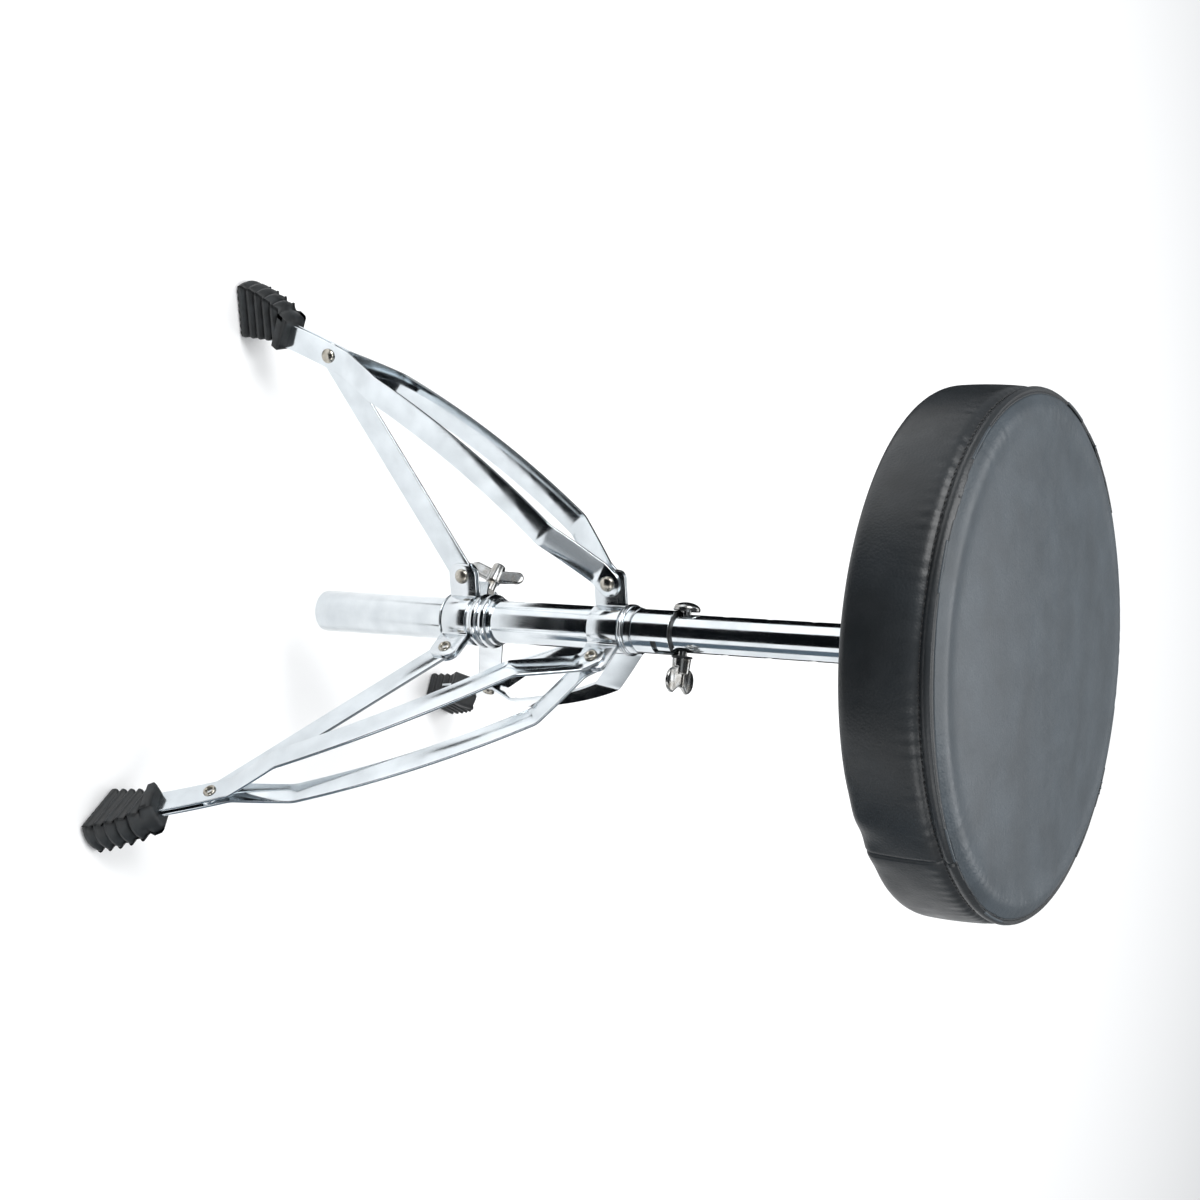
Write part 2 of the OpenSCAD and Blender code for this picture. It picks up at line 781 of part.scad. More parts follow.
module clamp_nut() {
    color("gainsboro")
        clamp_axis()
            translate([0, 0, 4.6])
                difference() {
                    cylinder(r = 5.6, h = 4.6, $fn = 6);
                    translate([0, 0, -1]) cylinder(r = plate_screw_d / 2 + fixed_gap, h = 7);
                }
}

module plate_screws() {
    color("gainsboro")
        plate_screw_places() {
            translate([0, 0, seat_bottom - plate_t - fixed_gap]) rotate([180, 0, 0])
                dome(plate_screw_d * 0.95, plate_screw_d * 0.55);
            translate([0, 0, seat_bottom - plate_t - 0.5]) cylinder(r = plate_screw_d / 2, h = plate_t + board_t - 1);
        }
}

// Flanged nuts in the board
module tee_nuts() {
    color("gainsboro")
        plate_screw_places()
            translate([0, 0, seat_bottom + 3])
                difference() {
                    union() {
                        cylinder(r = plate_screw_d / 2 + 1, h = board_t - 3);
                        translate([0, 0, board_t - 3]) cylinder(r = plate_screw_d * 1.5, h = 1);
                    }
                    translate([0, 0, -1]) cylinder(r = plate_screw_d / 2 + pivot_gap, h = board_t);
                }
}

module seat_board() {
    color("burlywood")
        translate([0, 0, seat_bottom + fixed_gap])
            difference() {
                cylinder(r = board_r, h = board_t - 2 * fixed_gap);
                plate_screw_places() translate([0, 0, -1])
                    cylinder(r = plate_screw_d / 2 + 1 + fixed_gap, h = board_t + 2);
            }
}

// Space under the crowned top, out to radius r and up to a cover's inner face
module crown_solid(r, z, top_z) {
    translate([0, 0, z])
        rotate_extrude()
            intersection() {
                translate([0, top_z + seat_crown - crown_r - z]) circle(r = crown_r, $fn = 360);
                square([r, 2 * seat_side_h + seat_crown]);
            }
}

module seat_foam() {
    color("khaki")
        difference() {
            crown_solid(foam_r, foam_z + fixed_gap, seam_z - cover_t - fixed_gap);
            plate_screw_places() translate([0, 0, foam_z - 1]) cylinder(r = plate_screw_d * 1.5 + hole_gap, h = 2.5);
        }
}

module seat_top_panel() {
    color("dimgray")
        difference() {
            crown_solid(seam_r - fixed_gap, seam_z - cover_t, seam_z);
            crown_solid(seam_r + 1, foam_z, seam_z - cover_t);
        }
}

module seat_side_band() {
    z_top = seam_z - cover_t - fixed_gap;
    color("black")
        rotate_extrude()
            polygon([
                [seat_r - 12, seat_bottom - cover_t], [seat_r, seat_bottom - cover_t],
                [seat_r, seat_bottom + 6], [seam_r, z_top],
                [seam_r - cover_t, z_top], [seat_r - cover_t, seat_bottom + 6],
                [seat_r - cover_t, seat_bottom], [seat_r - 12, seat_bottom]
            ]);
}

// Thin cloth under the board, inside the turned-in edge of the side band
module dust_cover() {
    color("black")
        translate([0, 0, seat_bottom - 0.6])
            difference() {
                cylinder(r = seat_r - 12 - fixed_gap, h = 0.6);
                translate([0, 0, -1]) linear_extrude(3)
                    round_rect(plate_w + 2, plate_w + 2, 13);
            }
}

module staples() {
    count = 36;
    color("gainsboro")
        for (i = [0:count - 1])
            rotate([0, 0, i * 360 / count])
                translate([seat_r - 8, -4.5, seat_bottom - cover_t - 0.6])
                    cube([1.2, 9, 0.6]);
}

// ---------- nodes ----------

outer_tube();
tube_bush();
upper_bead_ring();
upper_collar_third(0);  // upper_collar_a
upper_collar_third(120);  // upper_collar_b
upper_collar_third(240);  // upper_collar_c
upper_rivets();
slide_sleeve();
lower_collar_third(0);  // lower_collar_a
lower_collar_third(120);  // lower_collar_b
lower_collar_third(240);  // lower_collar_c
lower_rivets();
lock_bracket();
lock_nut();
lock_bolt();
leg_strip(0, 1);  // leg_a_near_strip
leg_strip(0, -1);  // leg_a_far_strip
leg_rivet(0);  // leg_a_rivet
leg_foot(0);  // leg_a_foot
leg_strip(120, -1);  // leg_b_near_strip
leg_strip(120, 1);  // leg_b_far_strip
leg_rivet(120);  // leg_b_rivet
leg_foot(120);  // leg_b_foot
leg_strip(240, -1);  // leg_c_near_strip
leg_strip(240, 1);  // leg_c_far_strip
leg_rivet(240);  // leg_c_rivet
leg_foot(240);  // leg_c_foot
brace(0);  // brace_a
brace(120);  // brace_b
brace(240);  // brace_c
inner_tube();
height_bolt();
height_washer();
wing_nut();
seat_plate();
seat_socket();
clamp_bolt();
clamp_nut();
plate_screws();
tee_nuts();
seat_board();
seat_foam();
seat_top_panel();
seat_side_band();
dust_cover();
staples();
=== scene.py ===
"""Looks of a folding stool with a round padded seat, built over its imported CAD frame."""

import json
import logging
import math
from dataclasses import dataclass
from enum import Enum
from typing import Sequence

import bmesh
import bpy
import numpy as np
from mathutils import Matrix, Vector

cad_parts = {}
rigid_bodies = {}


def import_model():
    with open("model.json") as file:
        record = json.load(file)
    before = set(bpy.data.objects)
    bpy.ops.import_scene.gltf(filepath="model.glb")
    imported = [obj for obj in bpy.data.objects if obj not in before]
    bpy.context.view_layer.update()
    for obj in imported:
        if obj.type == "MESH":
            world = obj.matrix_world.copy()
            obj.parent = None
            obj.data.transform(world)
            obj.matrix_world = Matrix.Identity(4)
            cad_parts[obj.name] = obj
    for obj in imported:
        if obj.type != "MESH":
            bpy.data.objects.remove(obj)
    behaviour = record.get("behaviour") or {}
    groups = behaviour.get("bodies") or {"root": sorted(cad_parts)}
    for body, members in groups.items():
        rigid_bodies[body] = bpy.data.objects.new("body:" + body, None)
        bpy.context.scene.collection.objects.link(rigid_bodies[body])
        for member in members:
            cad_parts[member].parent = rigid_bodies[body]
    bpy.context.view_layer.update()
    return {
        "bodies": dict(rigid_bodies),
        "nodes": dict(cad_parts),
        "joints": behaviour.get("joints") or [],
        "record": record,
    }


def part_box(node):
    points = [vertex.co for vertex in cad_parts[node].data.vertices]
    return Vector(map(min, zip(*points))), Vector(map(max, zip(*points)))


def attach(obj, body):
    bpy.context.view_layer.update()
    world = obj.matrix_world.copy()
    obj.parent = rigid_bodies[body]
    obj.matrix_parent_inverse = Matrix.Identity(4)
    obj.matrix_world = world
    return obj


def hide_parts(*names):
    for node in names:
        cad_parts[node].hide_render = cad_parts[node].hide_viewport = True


LOG = logging.getLogger("stool")
MM = 0.001
Array = np.ndarray


# ---------- shells: points in millimetres and the faces between them ----------


@dataclass
class Shell:
    """Points, in millimetres, and faces that index them."""

    points: Array
    faces: list

    def placed(self, place: "Place") -> "Shell":
        """The same shell in another coordinate frame."""
        return Shell(place.of(self.points), self.faces)


@dataclass(frozen=True)
class Place:
    """A coordinate frame: an origin in millimetres and three unit axes as rows."""

    origin: Array
    axes: Array

    def of(self, points: Array) -> Array:
        """Points of this frame in the model's frame: origin + x X + y Y + z Z."""
        return self.origin + points @ self.axes

    def moved(self, x: float = 0.0, y: float = 0.0, z: float = 0.0) -> "Place":
        """This frame shifted along its own axes."""
        return Place(self.of(np.array([x, y, z])), self.axes)

    def turned(self, degrees: float) -> "Place":
        """This frame turned about its own z."""
        c, s = math.cos(math.radians(degrees)), math.sin(math.radians(degrees))
        return Place(self.origin, np.array([[c, s, 0], [-s, c, 0], [0, 0, 1]]) @ self.axes)


WORLD = Place(np.zeros(3), np.eye(3))


def radial(azimuth: float) -> Array:
    """Unit vector out from the post at an azimuth in degrees."""
    return np.array([math.cos(math.radians(azimuth)), math.sin(math.radians(azimuth)), 0.0])


def upright(azimuth: float, r: float, z: float, tilt: float = 90.0) -> Place:
    """Frame in the radial plane at (r, z): x lies tilt degrees from straight down, y across it, outwards.

    Args:
        azimuth: direction of the plane about the post, in degrees.
        r: distance of the origin from the post's axis.
        z: height of the origin.
        tilt: angle of x from straight down; 90 points it outwards.

    Returns:
        The frame, whose z runs against the direction of rising azimuth.
    """
    out, up, t = radial(azimuth), np.array([0.0, 0.0, 1.0]), math.radians(tilt)
    x = out * math.sin(t) - up * math.cos(t)
    y = out * math.cos(t) + up * math.sin(t)
    return Place(out * r + up * z, np.stack([x, y, np.cross(x, y)]))


def outward(azimuth: float, z: float, r: float = 0.0) -> Place:
    """Frame whose z points out from the post, with x down and y along rising azimuth."""
    out = radial(azimuth)
    down = np.array([0.0, 0.0, -1.0])
    return Place(out * r - down * z, np.stack([down, np.cross(out, down), out]))


def grid_faces(rows: int, cols: int, wrap_rows: bool, wrap_cols: bool) -> list:
    """Quads between neighbours of a rows by cols grid, joined round at either end if it wraps."""
    r = np.arange(rows if wrap_rows else rows - 1)[:, None]
    c = np.arange(cols if wrap_cols else cols - 1)[None, :]
    r1, c1 = (r + 1) % rows, (c + 1) % cols
    corners = [r * cols + c, r * cols + c1, r1 * cols + c1, r1 * cols + c]
    return np.stack([np.broadcast_to(k, (r.size, c.size)) for k in corners], -1).reshape(-1, 4).tolist()


def loft(rings: Array, closed: bool = False) -> Shell:
    """Skin over a stack of closed rings, with a flat cap at each end unless the stack is itself a loop.

    Args:
        rings: array of shape (rings, points per ring, 3).
        closed: True where the last ring joins the first.

    Returns:
        A closed shell.
    """
    count, around = rings.shape[:2]
    faces = grid_faces(count, around, closed, True)
    if not closed:
        faces.append(list(range(around)))
        faces.append(list(range((count - 1) * around, count * around)))
    return Shell(rings.reshape(-1, 3), faces)


def lathe(profile: Sequence, segments: int = 64, ring: bool = False) -> Shell:
    """Profile of (radius, height) turned about z: (r cos t, r sin t, h).

    Args:
        profile: points in order, ending on the axis at both ends, or a loop where ring is True.
        segments: steps round the axis.
        ring: True for a closed profile clear of the axis.

    Returns:
        A closed shell.
    """
    p = np.asarray(profile, float)
    t = np.linspace(0, 2 * np.pi, segments, endpoint=False)[:, None]
    grid = np.stack([p[:, 0] * np.cos(t), p[:, 0] * np.sin(t), p[:, 1] + 0 * t], -1)
    return Shell(grid.reshape(-1, 3), grid_faces(segments, len(p), True, ring))


def rounded(profile: Sequence, radius: float, steps: int = 4, loop: bool = True) -> Array:
    """Polygon whose corners are replaced by quadratic curves that start radius before each corner.

    Args:
        profile: corner points.
        radius: distance from the corner at which its curve starts, less on short sides.
        steps: points on each curve.
        loop: True for a closed polygon; otherwise the two end points stay.

    Returns:
        The points of the rounded outline.
    """
    p = np.asarray(profile, float)
    before, after = np.roll(p, 1, 0) - p, np.roll(p, -1, 0) - p
    lengths = [np.linalg.norm(v, axis=1, keepdims=True) + 1e-9 for v in (before, after)]
    start = p + before / lengths[0] * np.minimum(radius, lengths[0] * 0.45)
    end = p + after / lengths[1] * np.minimum(radius, lengths[1] * 0.45)
    t = np.linspace(0, 1, steps)[None, :, None]
    curve = start[:, None] * (1 - t) ** 2 + 2 * p[:, None] * t * (1 - t) + end[:, None] * t**2
    if loop:
        return curve.reshape(-1, p.shape[1])
    return np.concatenate([p[:1], curve[1:-1].reshape(-1, p.shape[1]), p[-1:]])


def bar_section(width: Array, height: Array, radius: float, steps: int = 4) -> Array:
    """Rounded rectangles, one for each width and height: corner centre + radius (cos a, sin a).

    Args:
        width: full widths, one a station.
        height: full heights, one a station.
        radius: corner radius, less where the section is smaller than its corners.
        steps: points on each corner.

    Returns:
        Array of shape (stations, 4 * steps, 2).
    """
    w, h = np.broadcast_arrays(np.asarray(width, float), np.asarray(height, float))
    r = np.minimum(radius, 0.499 * np.minimum(w, h))[:, None]
    a = np.concatenate([np.linspace(q, q + np.pi / 2, steps) for q in np.arange(4) * np.pi / 2])
    quarter = np.repeat(np.arange(4), steps)
    sx = np.array([1, -1, -1, 1])[quarter]
    sy = np.array([1, 1, -1, -1])[quarter]
    x = sx * (w[:, None] / 2 - r) + r * np.cos(a)
    y = sy * (h[:, None] / 2 - r) + r * np.sin(a)
    return np.stack([x, y], -1)


def unit(v: Array) -> Array:
    """Vectors scaled to length one."""
    return v / (np.linalg.norm(v, axis=-1, keepdims=True) + 1e-12)


def sweep(path: Array, across: Array, section: Array) -> Shell:
    """Section carried along a path: point + u across + v (tangent x across).

    Args:
        path: centre points, shape (stations, 3).
        across: direction of each section's first coordinate.
        section: array of shape (stations, points, 2).

    Returns:
        A closed shell.
    """
    tangent = unit(np.gradient(path, axis=0))
    normal = unit(np.cross(tangent, across))
    side = unit(np.cross(normal, tangent))
    rings = path[:, None] + section[..., :1] * side[:, None] + section[..., 1:] * normal[:, None]
    return loft(rings)


def joined(shells: Sequence[Shell]) -> Shell:
    """Several shells as one."""
    offsets = np.cumsum([0] + [len(s.points) for s in shells[:-1]])
    faces = [[i + int(o) for i in f] for s, o in zip(shells, offsets) for f in s.faces]
    return Shell(np.concatenate([s.points for s in shells]), faces)


def tidy(mesh: bpy.types.Mesh, merge: float = 2e-6) -> None:
    """Merges doubles, drops slivers and turns the faces outwards."""
    bm = bmesh.new()
    bm.from_mesh(mesh)
    bmesh.ops.remove_doubles(bm, verts=bm.verts, dist=merge)
    bmesh.ops.dissolve_degenerate(bm, edges=bm.edges, dist=merge)
    bmesh.ops.recalc_face_normals(bm, faces=bm.faces)
    bm.to_mesh(mesh)
    bm.free()


def make_object(name: str, shell: Shell, crease: float = 35.0) -> bpy.types.Object:
    """A smooth-shaded object at the origin from a shell, with edges sharper than crease degrees kept hard."""
    mesh = bpy.data.meshes.new(name)
    mesh.from_pydata((shell.points * MM).tolist(), [], shell.faces)
    tidy(mesh)
    mesh.shade_smooth()
    mesh.set_sharp_from_angle(angle=math.radians(crease))
    piece = bpy.data.objects.new(name, mesh)
    bpy.context.scene.collection.objects.link(piece)
    return piece


def extent(piece: bpy.types.Object) -> Array:
    """Size of a piece along each axis, in millimetres."""
    co = np.empty(len(piece.data.vertices) * 3, np.float32)
    piece.data.vertices.foreach_get("co", co)
    p = co.reshape(-1, 3) / MM
    return p.max(0) - p.min(0) if len(p) else np.zeros(3)


def cut(piece: bpy.types.Object, tools: Sequence[Shell]) -> None:
    """Takes closed shells away from a piece, one at a time since they may overlap each other.

    Raises:
        ValueError: where a cut leaves the piece smaller overall, so that a lost piece is never passed over.
    """
    size = extent(piece)
    for tool in tools:
        cutter = make_object("cutter", tool)
        step = piece.modifiers.new("cut", "BOOLEAN")
        step.object = cutter
        step.operation = "DIFFERENCE"
        step.solver = "EXACT"
        graph = bpy.context.evaluated_depsgraph_get()
        mesh = bpy.data.meshes.new_from_object(piece.evaluated_get(graph))
        piece.modifiers.clear()
        piece.data = mesh
        bpy.data.objects.remove(cutter)
        if np.abs(extent(piece) - size).max() > 0.5:
            raise ValueError(f"a cut changed the size of {piece.name} from {size} to {extent(piece)}")
    piece.data.shade_smooth()
    piece.data.set_sharp_from_angle(angle=math.radians(35.0))


# ---------- finishes ----------


def linear(code: str) -> tuple:
    """An sRGB hex colour as linear RGBA."""
    part = [int(code[i : i + 2], 16) / 255 for i in (1, 3, 5)]
    return (*[c / 12.92 if c <= 0.04045 else ((c + 0.055) / 1.055) ** 2.4 for c in part], 1.0)


def add_node(tree: bpy.types.NodeTree, kind: str, options: dict | None = None,
             **sockets: object) -> bpy.types.Node:
    """Adds a node, sets its options, and sets or links its input sockets.

    Args:
        tree: the material's tree.
        kind: node type without its ShaderNode prefix.
        options: attributes of the node, such as its operation.
        **sockets: values or output sockets for inputs, by name with _ for a space, or i0, i1 by number.

    Returns:
        The node.
    """
    node = tree.nodes.new("ShaderNode" + kind)
    for key, value in (options or {}).items():
        setattr(node, key, value)
    for key, value in sockets.items():
        index = int(key[1:]) if key[0] == "i" and key[1:].isdigit() else key.replace("_", " ")
        if isinstance(value, bpy.types.NodeSocket):
            tree.links.new(value, node.inputs[index])
        else:
            node.inputs[index].default_value = value
    return node


def ramp(tree: bpy.types.NodeTree, source: bpy.types.NodeSocket, stops: Sequence) -> bpy.types.NodeSocket:
    """Colour ramp over (position, hex colour) stops, and its colour output."""
    node = add_node(tree, "ValToRGB", Fac=source)
    while len(node.color_ramp.elements) < len(stops):
        node.color_ramp.elements.new(0.5)
    for element, (place, code) in zip(node.color_ramp.elements, stops):
        element.position = place
        element.color = linear(code)
    return node.outputs["Color"]


def spread(tree: bpy.types.NodeTree, source: bpy.types.NodeSocket, low: float,
           high: float) -> bpy.types.NodeSocket:
    """A value from 0.3 to 0.7, where noise mostly lies, stretched to the range low to high."""
    node = add_node(tree, "MapRange", i0=source, i1=0.3, i2=0.7, i3=low, i4=high)
    return node.outputs[0]


@dataclass(frozen=True)
class Finish:
    """A surface finish: the constants of its shader, and the patterns its subclasses add."""

    name: str
    colour: str
    metallic: float = 0.0
    roughness: float = 0.5
    ior: float = 1.5

    def material(self) -> bpy.types.Material:
        """The finish's material, made the first time it is asked for."""
        made = bpy.data.materials.get(self.name)
        if made:
            return made
        made = bpy.data.materials.new(self.name)
        made.use_nodes = True
        made.diffuse_color = linear(self.colour)
        tree = made.node_tree
        shader = tree.nodes["Principled BSDF"]
        shader.inputs["Base Color"].default_value = linear(self.colour)
        shader.inputs["Metallic"].default_value = self.metallic
        shader.inputs["Roughness"].default_value = self.roughness
        shader.inputs["IOR"].default_value = self.ior
        coords = add_node(tree, "TexCoord").outputs["Object"]
        self.pattern(tree, shader, coords)
        return made

    def noise(self, tree: bpy.types.NodeTree, coords: bpy.types.NodeSocket, size_mm: float, detail: float = 3.0,
              stretch: tuple = (1, 1, 1)) -> bpy.types.NodeSocket:
        """Noise whose blobs are size_mm across, drawn out along an axis by stretch."""
        mapping = add_node(tree, "Mapping", Vector=coords, Scale=tuple(1 / s for s in stretch))
        node = add_node(tree, "TexNoise", Vector=mapping.outputs[0], Scale=1 / (size_mm * MM), Detail=detail)
        return node.outputs["Fac"]

    def bump(self, tree: bpy.types.NodeTree, shader: bpy.types.Node, height: bpy.types.NodeSocket, depth_mm: float,
             under: bpy.types.NodeSocket | None = None) -> bpy.types.NodeSocket:
        """Bump of a depth in millimetres on the shader's normal, over another bump if one is given."""
        node = add_node(tree, "Bump", Height=height, Distance=depth_mm * MM, Strength=1.0)
        if under:
            tree.links.new(under, node.inputs["Normal"])
        tree.links.new(node.outputs[0], shader.inputs["Normal"])
        return node.outputs[0]

    def pattern(self, tree: bpy.types.NodeTree, shader: bpy.types.Node, coords: bpy.types.NodeSocket) -> None:
        """Colour, roughness and relief that vary over the surface."""


@dataclass(frozen=True)
class Chrome(Finish):
    """Bright chrome plate over buffed steel: a mirror with hand smears, wipe marks and a slow ripple."""

    ripple_mm: float = 0.02
    ripple_size: float = 22.0
    smear: float = 0.10

    def pattern(self, tree: bpy.types.NodeTree, shader: bpy.types.Node, coords: bpy.types.NodeSocket) -> None:
        """Cloudy smears 18 mm across dull it, wipe marks 0.6 mm wide scratch it, and the steel ripples."""
        cloud = self.noise(tree, coords, 18.0, 4.0)
        wipe = self.noise(tree, coords, 0.6, 2.0, stretch=(1, 1, 30))
        rough = spread(tree, cloud, self.roughness, self.roughness + self.smear)
        extra = spread(tree, wipe, 0.0, 0.05)
        total = add_node(tree, "Math", {"operation": "ADD"}, i0=rough, i1=extra)
        tree.links.new(total.outputs[0], shader.inputs["Roughness"])
        colour = ramp(tree, cloud, [(0.3, self.colour), (0.75, "#c9cfd3")])
        tree.links.new(colour, shader.inputs["Base Color"])
        ripple = self.bump(tree, shader, self.noise(tree, coords, self.ripple_size, 1.0), self.ripple_mm)
        self.bump(tree, shader, wipe, 0.0015, ripple)


@dataclass(frozen=True)
class Zinc(Finish):
    """Bright zinc or nickel plate over cast or headed steel: softly shining, with a fine cast skin."""

    grain_mm: float = 0.012

    def pattern(self, tree: bpy.types.NodeTree, shader: bpy.types.Node, coords: bpy.types.NodeSocket) -> None:
        """A skin of pits 0.7 mm across, and patches 6 mm across that are duller and browner."""
        patch = self.noise(tree, coords, 6.0, 4.0)
        tree.links.new(spread(tree, patch, self.roughness, self.roughness + 0.16), shader.inputs["Roughness"])
        tree.links.new(ramp(tree, patch, [(0.35, self.colour), (0.8, "#8f887c")]), shader.inputs["Base Color"])
        self.bump(tree, shader, self.noise(tree, coords, 0.7, 3.0), self.grain_mm)


@dataclass(frozen=True)
class Moulded(Finish):
    """Moulded rubber, nylon or enamel: one colour, with a fine skin and dusty, scuffed patches."""

    grain_size: float = 0.8
    grain_mm: float = 0.03
    dust: str = "#3a3e41"

    def pattern(self, tree: bpy.types.NodeTree, shader: bpy.types.Node, coords: bpy.types.NodeSocket) -> None:
        """Grain of grain_size, and dust in patches 7 mm across."""
        patch = self.noise(tree, coords, 7.0, 5.0)
        tree.links.new(ramp(tree, patch, [(0.45, self.colour), (0.85, self.dust)]), shader.inputs["Base Color"])
        tree.links.new(spread(tree, patch, self.roughness - 0.06, self.roughness + 0.1), shader.inputs["Roughness"])
        self.bump(tree, shader, self.noise(tree, coords, self.grain_size, 3.0), self.grain_mm)


@dataclass(frozen=True)
class Vinyl(Finish):
    """Embossed, calendered vinyl cloth: satin black with a pebble grain that catches the light."""

    pebble: float = 1.5
    depth_mm: float = 0.10
    worn: str = "#3c444a"

    def pattern(self, tree: bpy.types.NodeTree, shader: bpy.types.Node, coords: bpy.types.NodeSocket) -> None:
        """Pebbles of 1.5 mm, coarser than the real 1 mm so that they show, of uneven depth, with fine pores."""
        shader.inputs["Specular IOR Level"].default_value = 0.5
        warp = self.noise(tree, coords, 4.0, 2.0)
        shift = add_node(tree, "VectorMath", {"operation": "SCALE"}, i0=coords, Scale=1.0)
        bent = add_node(tree, "VectorMath", {"operation": "MULTIPLY_ADD"}, i0=warp, i1=(0.0016, 0.0016, 0.0016),
                        i2=shift.outputs[0])
        cells = add_node(tree, "TexVoronoi", {"feature": "SMOOTH_F1"}, Vector=bent.outputs[0],
                         Scale=1 / (self.pebble * MM), Smoothness=0.35)
        field_ = self.noise(tree, coords, 30.0, 2.0)
        depth = spread(tree, field_, 0.55, 1.0)
        height = add_node(tree, "Math", {"operation": "MULTIPLY"}, i0=cells.outputs["Distance"], i1=depth)
        upside = add_node(tree, "Math", {"operation": "SUBTRACT"}, i0=1.0, i1=height.outputs[0])
        grain = self.bump(tree, shader, upside.outputs[0], self.depth_mm)
        self.bump(tree, shader, self.noise(tree, coords, 0.5, 2.0), 0.012, grain)
        tone = ramp(tree, field_, [(0.3, self.colour), (0.8, self.worn)])
        tree.links.new(tone, shader.inputs["Base Color"])
        rough = spread(tree, self.noise(tree, coords, 12.0, 4.0), self.roughness - 0.04, self.roughness + 0.06)
        tree.links.new(rough, shader.inputs["Roughness"])


@dataclass(frozen=True)
class Wood(Finish):
    """Raw birch plywood: pale plies 1.5 mm thick that show at the edge, and long grain on the faces."""

    ply_mm: float = 1.5

    def pattern(self, tree: bpy.types.NodeTree, shader: bpy.types.Node, coords: bpy.types.NodeSocket) -> None:
        """Plies as waves up the height, mixed with grain streaks 2 mm wide and 40 mm long."""
        wave = add_node(tree, "TexWave", {"wave_type": "BANDS", "bands_direction": "Z"}, Vector=coords,
                        Scale=1 / (self.ply_mm * MM * 6.28), Distortion=0.4)
        grain = self.noise(tree, coords, 2.0, 4.0, stretch=(20, 1, 1))
        mixed = add_node(tree, "Math", {"operation": "MULTIPLY_ADD"}, i0=wave.outputs["Fac"], i1=0.35, i2=grain)
        colour = ramp(tree, mixed.outputs[0], [(0.35, "#8c6a40"), (0.9, self.colour)])
        tree.links.new(colour, shader.inputs["Base Color"])
        self.bump(tree, shader, grain, 0.08)


@dataclass(frozen=True)
class Cloth(Finish):
    """Spun-bonded cloth, foam or thread: fibres or cells with a soft sheen."""

    cell_mm: float = 1.2
    relief_mm: float = 0.15

    def pattern(self, tree: bpy.types.NodeTree, shader: bpy.types.Node, coords: bpy.types.NodeSocket) -> None:
        """Cells of cell_mm, with painted shade darkening the colour in the pores."""
        shader.inputs["Sheen Weight"].default_value = 0.2
        cells = add_node(tree, "TexVoronoi", Vector=coords, Scale=1 / (self.cell_mm * MM)).outputs["Distance"]
        # Painted shade: the colour is multiplied darker where the cells' bump sinks into pores.
        colour = add_node(tree, "MixRGB", {"blend_type": "MULTIPLY"}, Fac=0.35, Color1=linear(self.colour),
                          Color2=cells)
        tree.links.new(colour.outputs[0], shader.inputs["Base Color"])
        self.bump(tree, shader, cells, self.relief_mm)


class Finishes(Enum):
    """Every finish on the stool."""

    TUBE_CHROME = Chrome("chrome_on_drawn_tube", "#dfe4e7", 1.0, 0.06, ripple_mm=0.006, ripple_size=30.0)
    STRIP_CHROME = Chrome("chrome_on_rolled_strip", "#dde3e7", 1.0, 0.05, ripple_mm=0.09, ripple_size=26.0)
    PRESSED_CHROME = Chrome("chrome_on_pressed_sheet", "#dde1e4", 1.0, 0.08, ripple_mm=0.03, ripple_size=9.0)
    RIVET_NICKEL = Zinc("nickel_on_rivet_steel", "#c3bfb5", 1.0, 0.2)
    CAST_ZINC = Zinc("zinc_on_cast_steel", "#c6c8c9", 1.0, 0.16, grain_mm=0.03)
    BLACK_NYLON = Moulded("moulded_nylon", "#121314", 0.0, 0.42, ior=1.53, grain_mm=0.01)
    FOOT_RUBBER = Moulded("moulded_rubber", "#141719", 0.0, 0.5, ior=1.52, grain_mm=0.035, dust="#2b3033")
    ENAMEL = Moulded("stove_enamel", "#131415", 0.0, 0.25, ior=1.5, grain_size=1.6, grain_mm=0.012, dust="#1c1e20")
    # The top panel and side band are one black vinyl. The top's colour and its worn tone are painted lighter as
    # painted light, and the band's are painted darker as painted shade. The patchy wear within each is the vinyl's
    # own.
    TOP_VINYL = Vinyl("embossed_vinyl_top_painted_light", "#2e363c", 0.0, 0.36, ior=1.52, worn="#3b444b")
    SIDE_VINYL = Vinyl("embossed_vinyl_band_painted_shade", "#15191c", 0.0, 0.40, ior=1.52, worn="#1d2226")
    THREAD = Cloth("bonded_thread", "#101214", 0.0, 0.6, cell_mm=0.4, relief_mm=0.03)
    FOAM = Cloth("cut_foam", "#c9b878", 0.0, 0.9)
    DUST_CLOTH = Cloth("spun_cloth", "#141414", 0.0, 0.9)
    PLYWOOD = Wood("raw_plywood", "#c9a673", 0.0, 0.65)
    WIRE = Zinc("galvanised_wire", "#b9bcbe", 1.0, 0.3)


def dress(piece: bpy.types.Object, finish: Finishes, body: str, slot: str, *stands_for: str) -> bpy.types.Object:
    """Gives a piece its finish and body, and hides the CAD nodes that it stands for."""
    piece.data.materials.clear()
    piece.data.materials.append(finish.value.material())
    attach(piece, body)
    if stands_for:
        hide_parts(*stands_for)
    LOG.info("%s: %d faces on %s", piece.name, len(piece.data.polygons), body)
    return piece


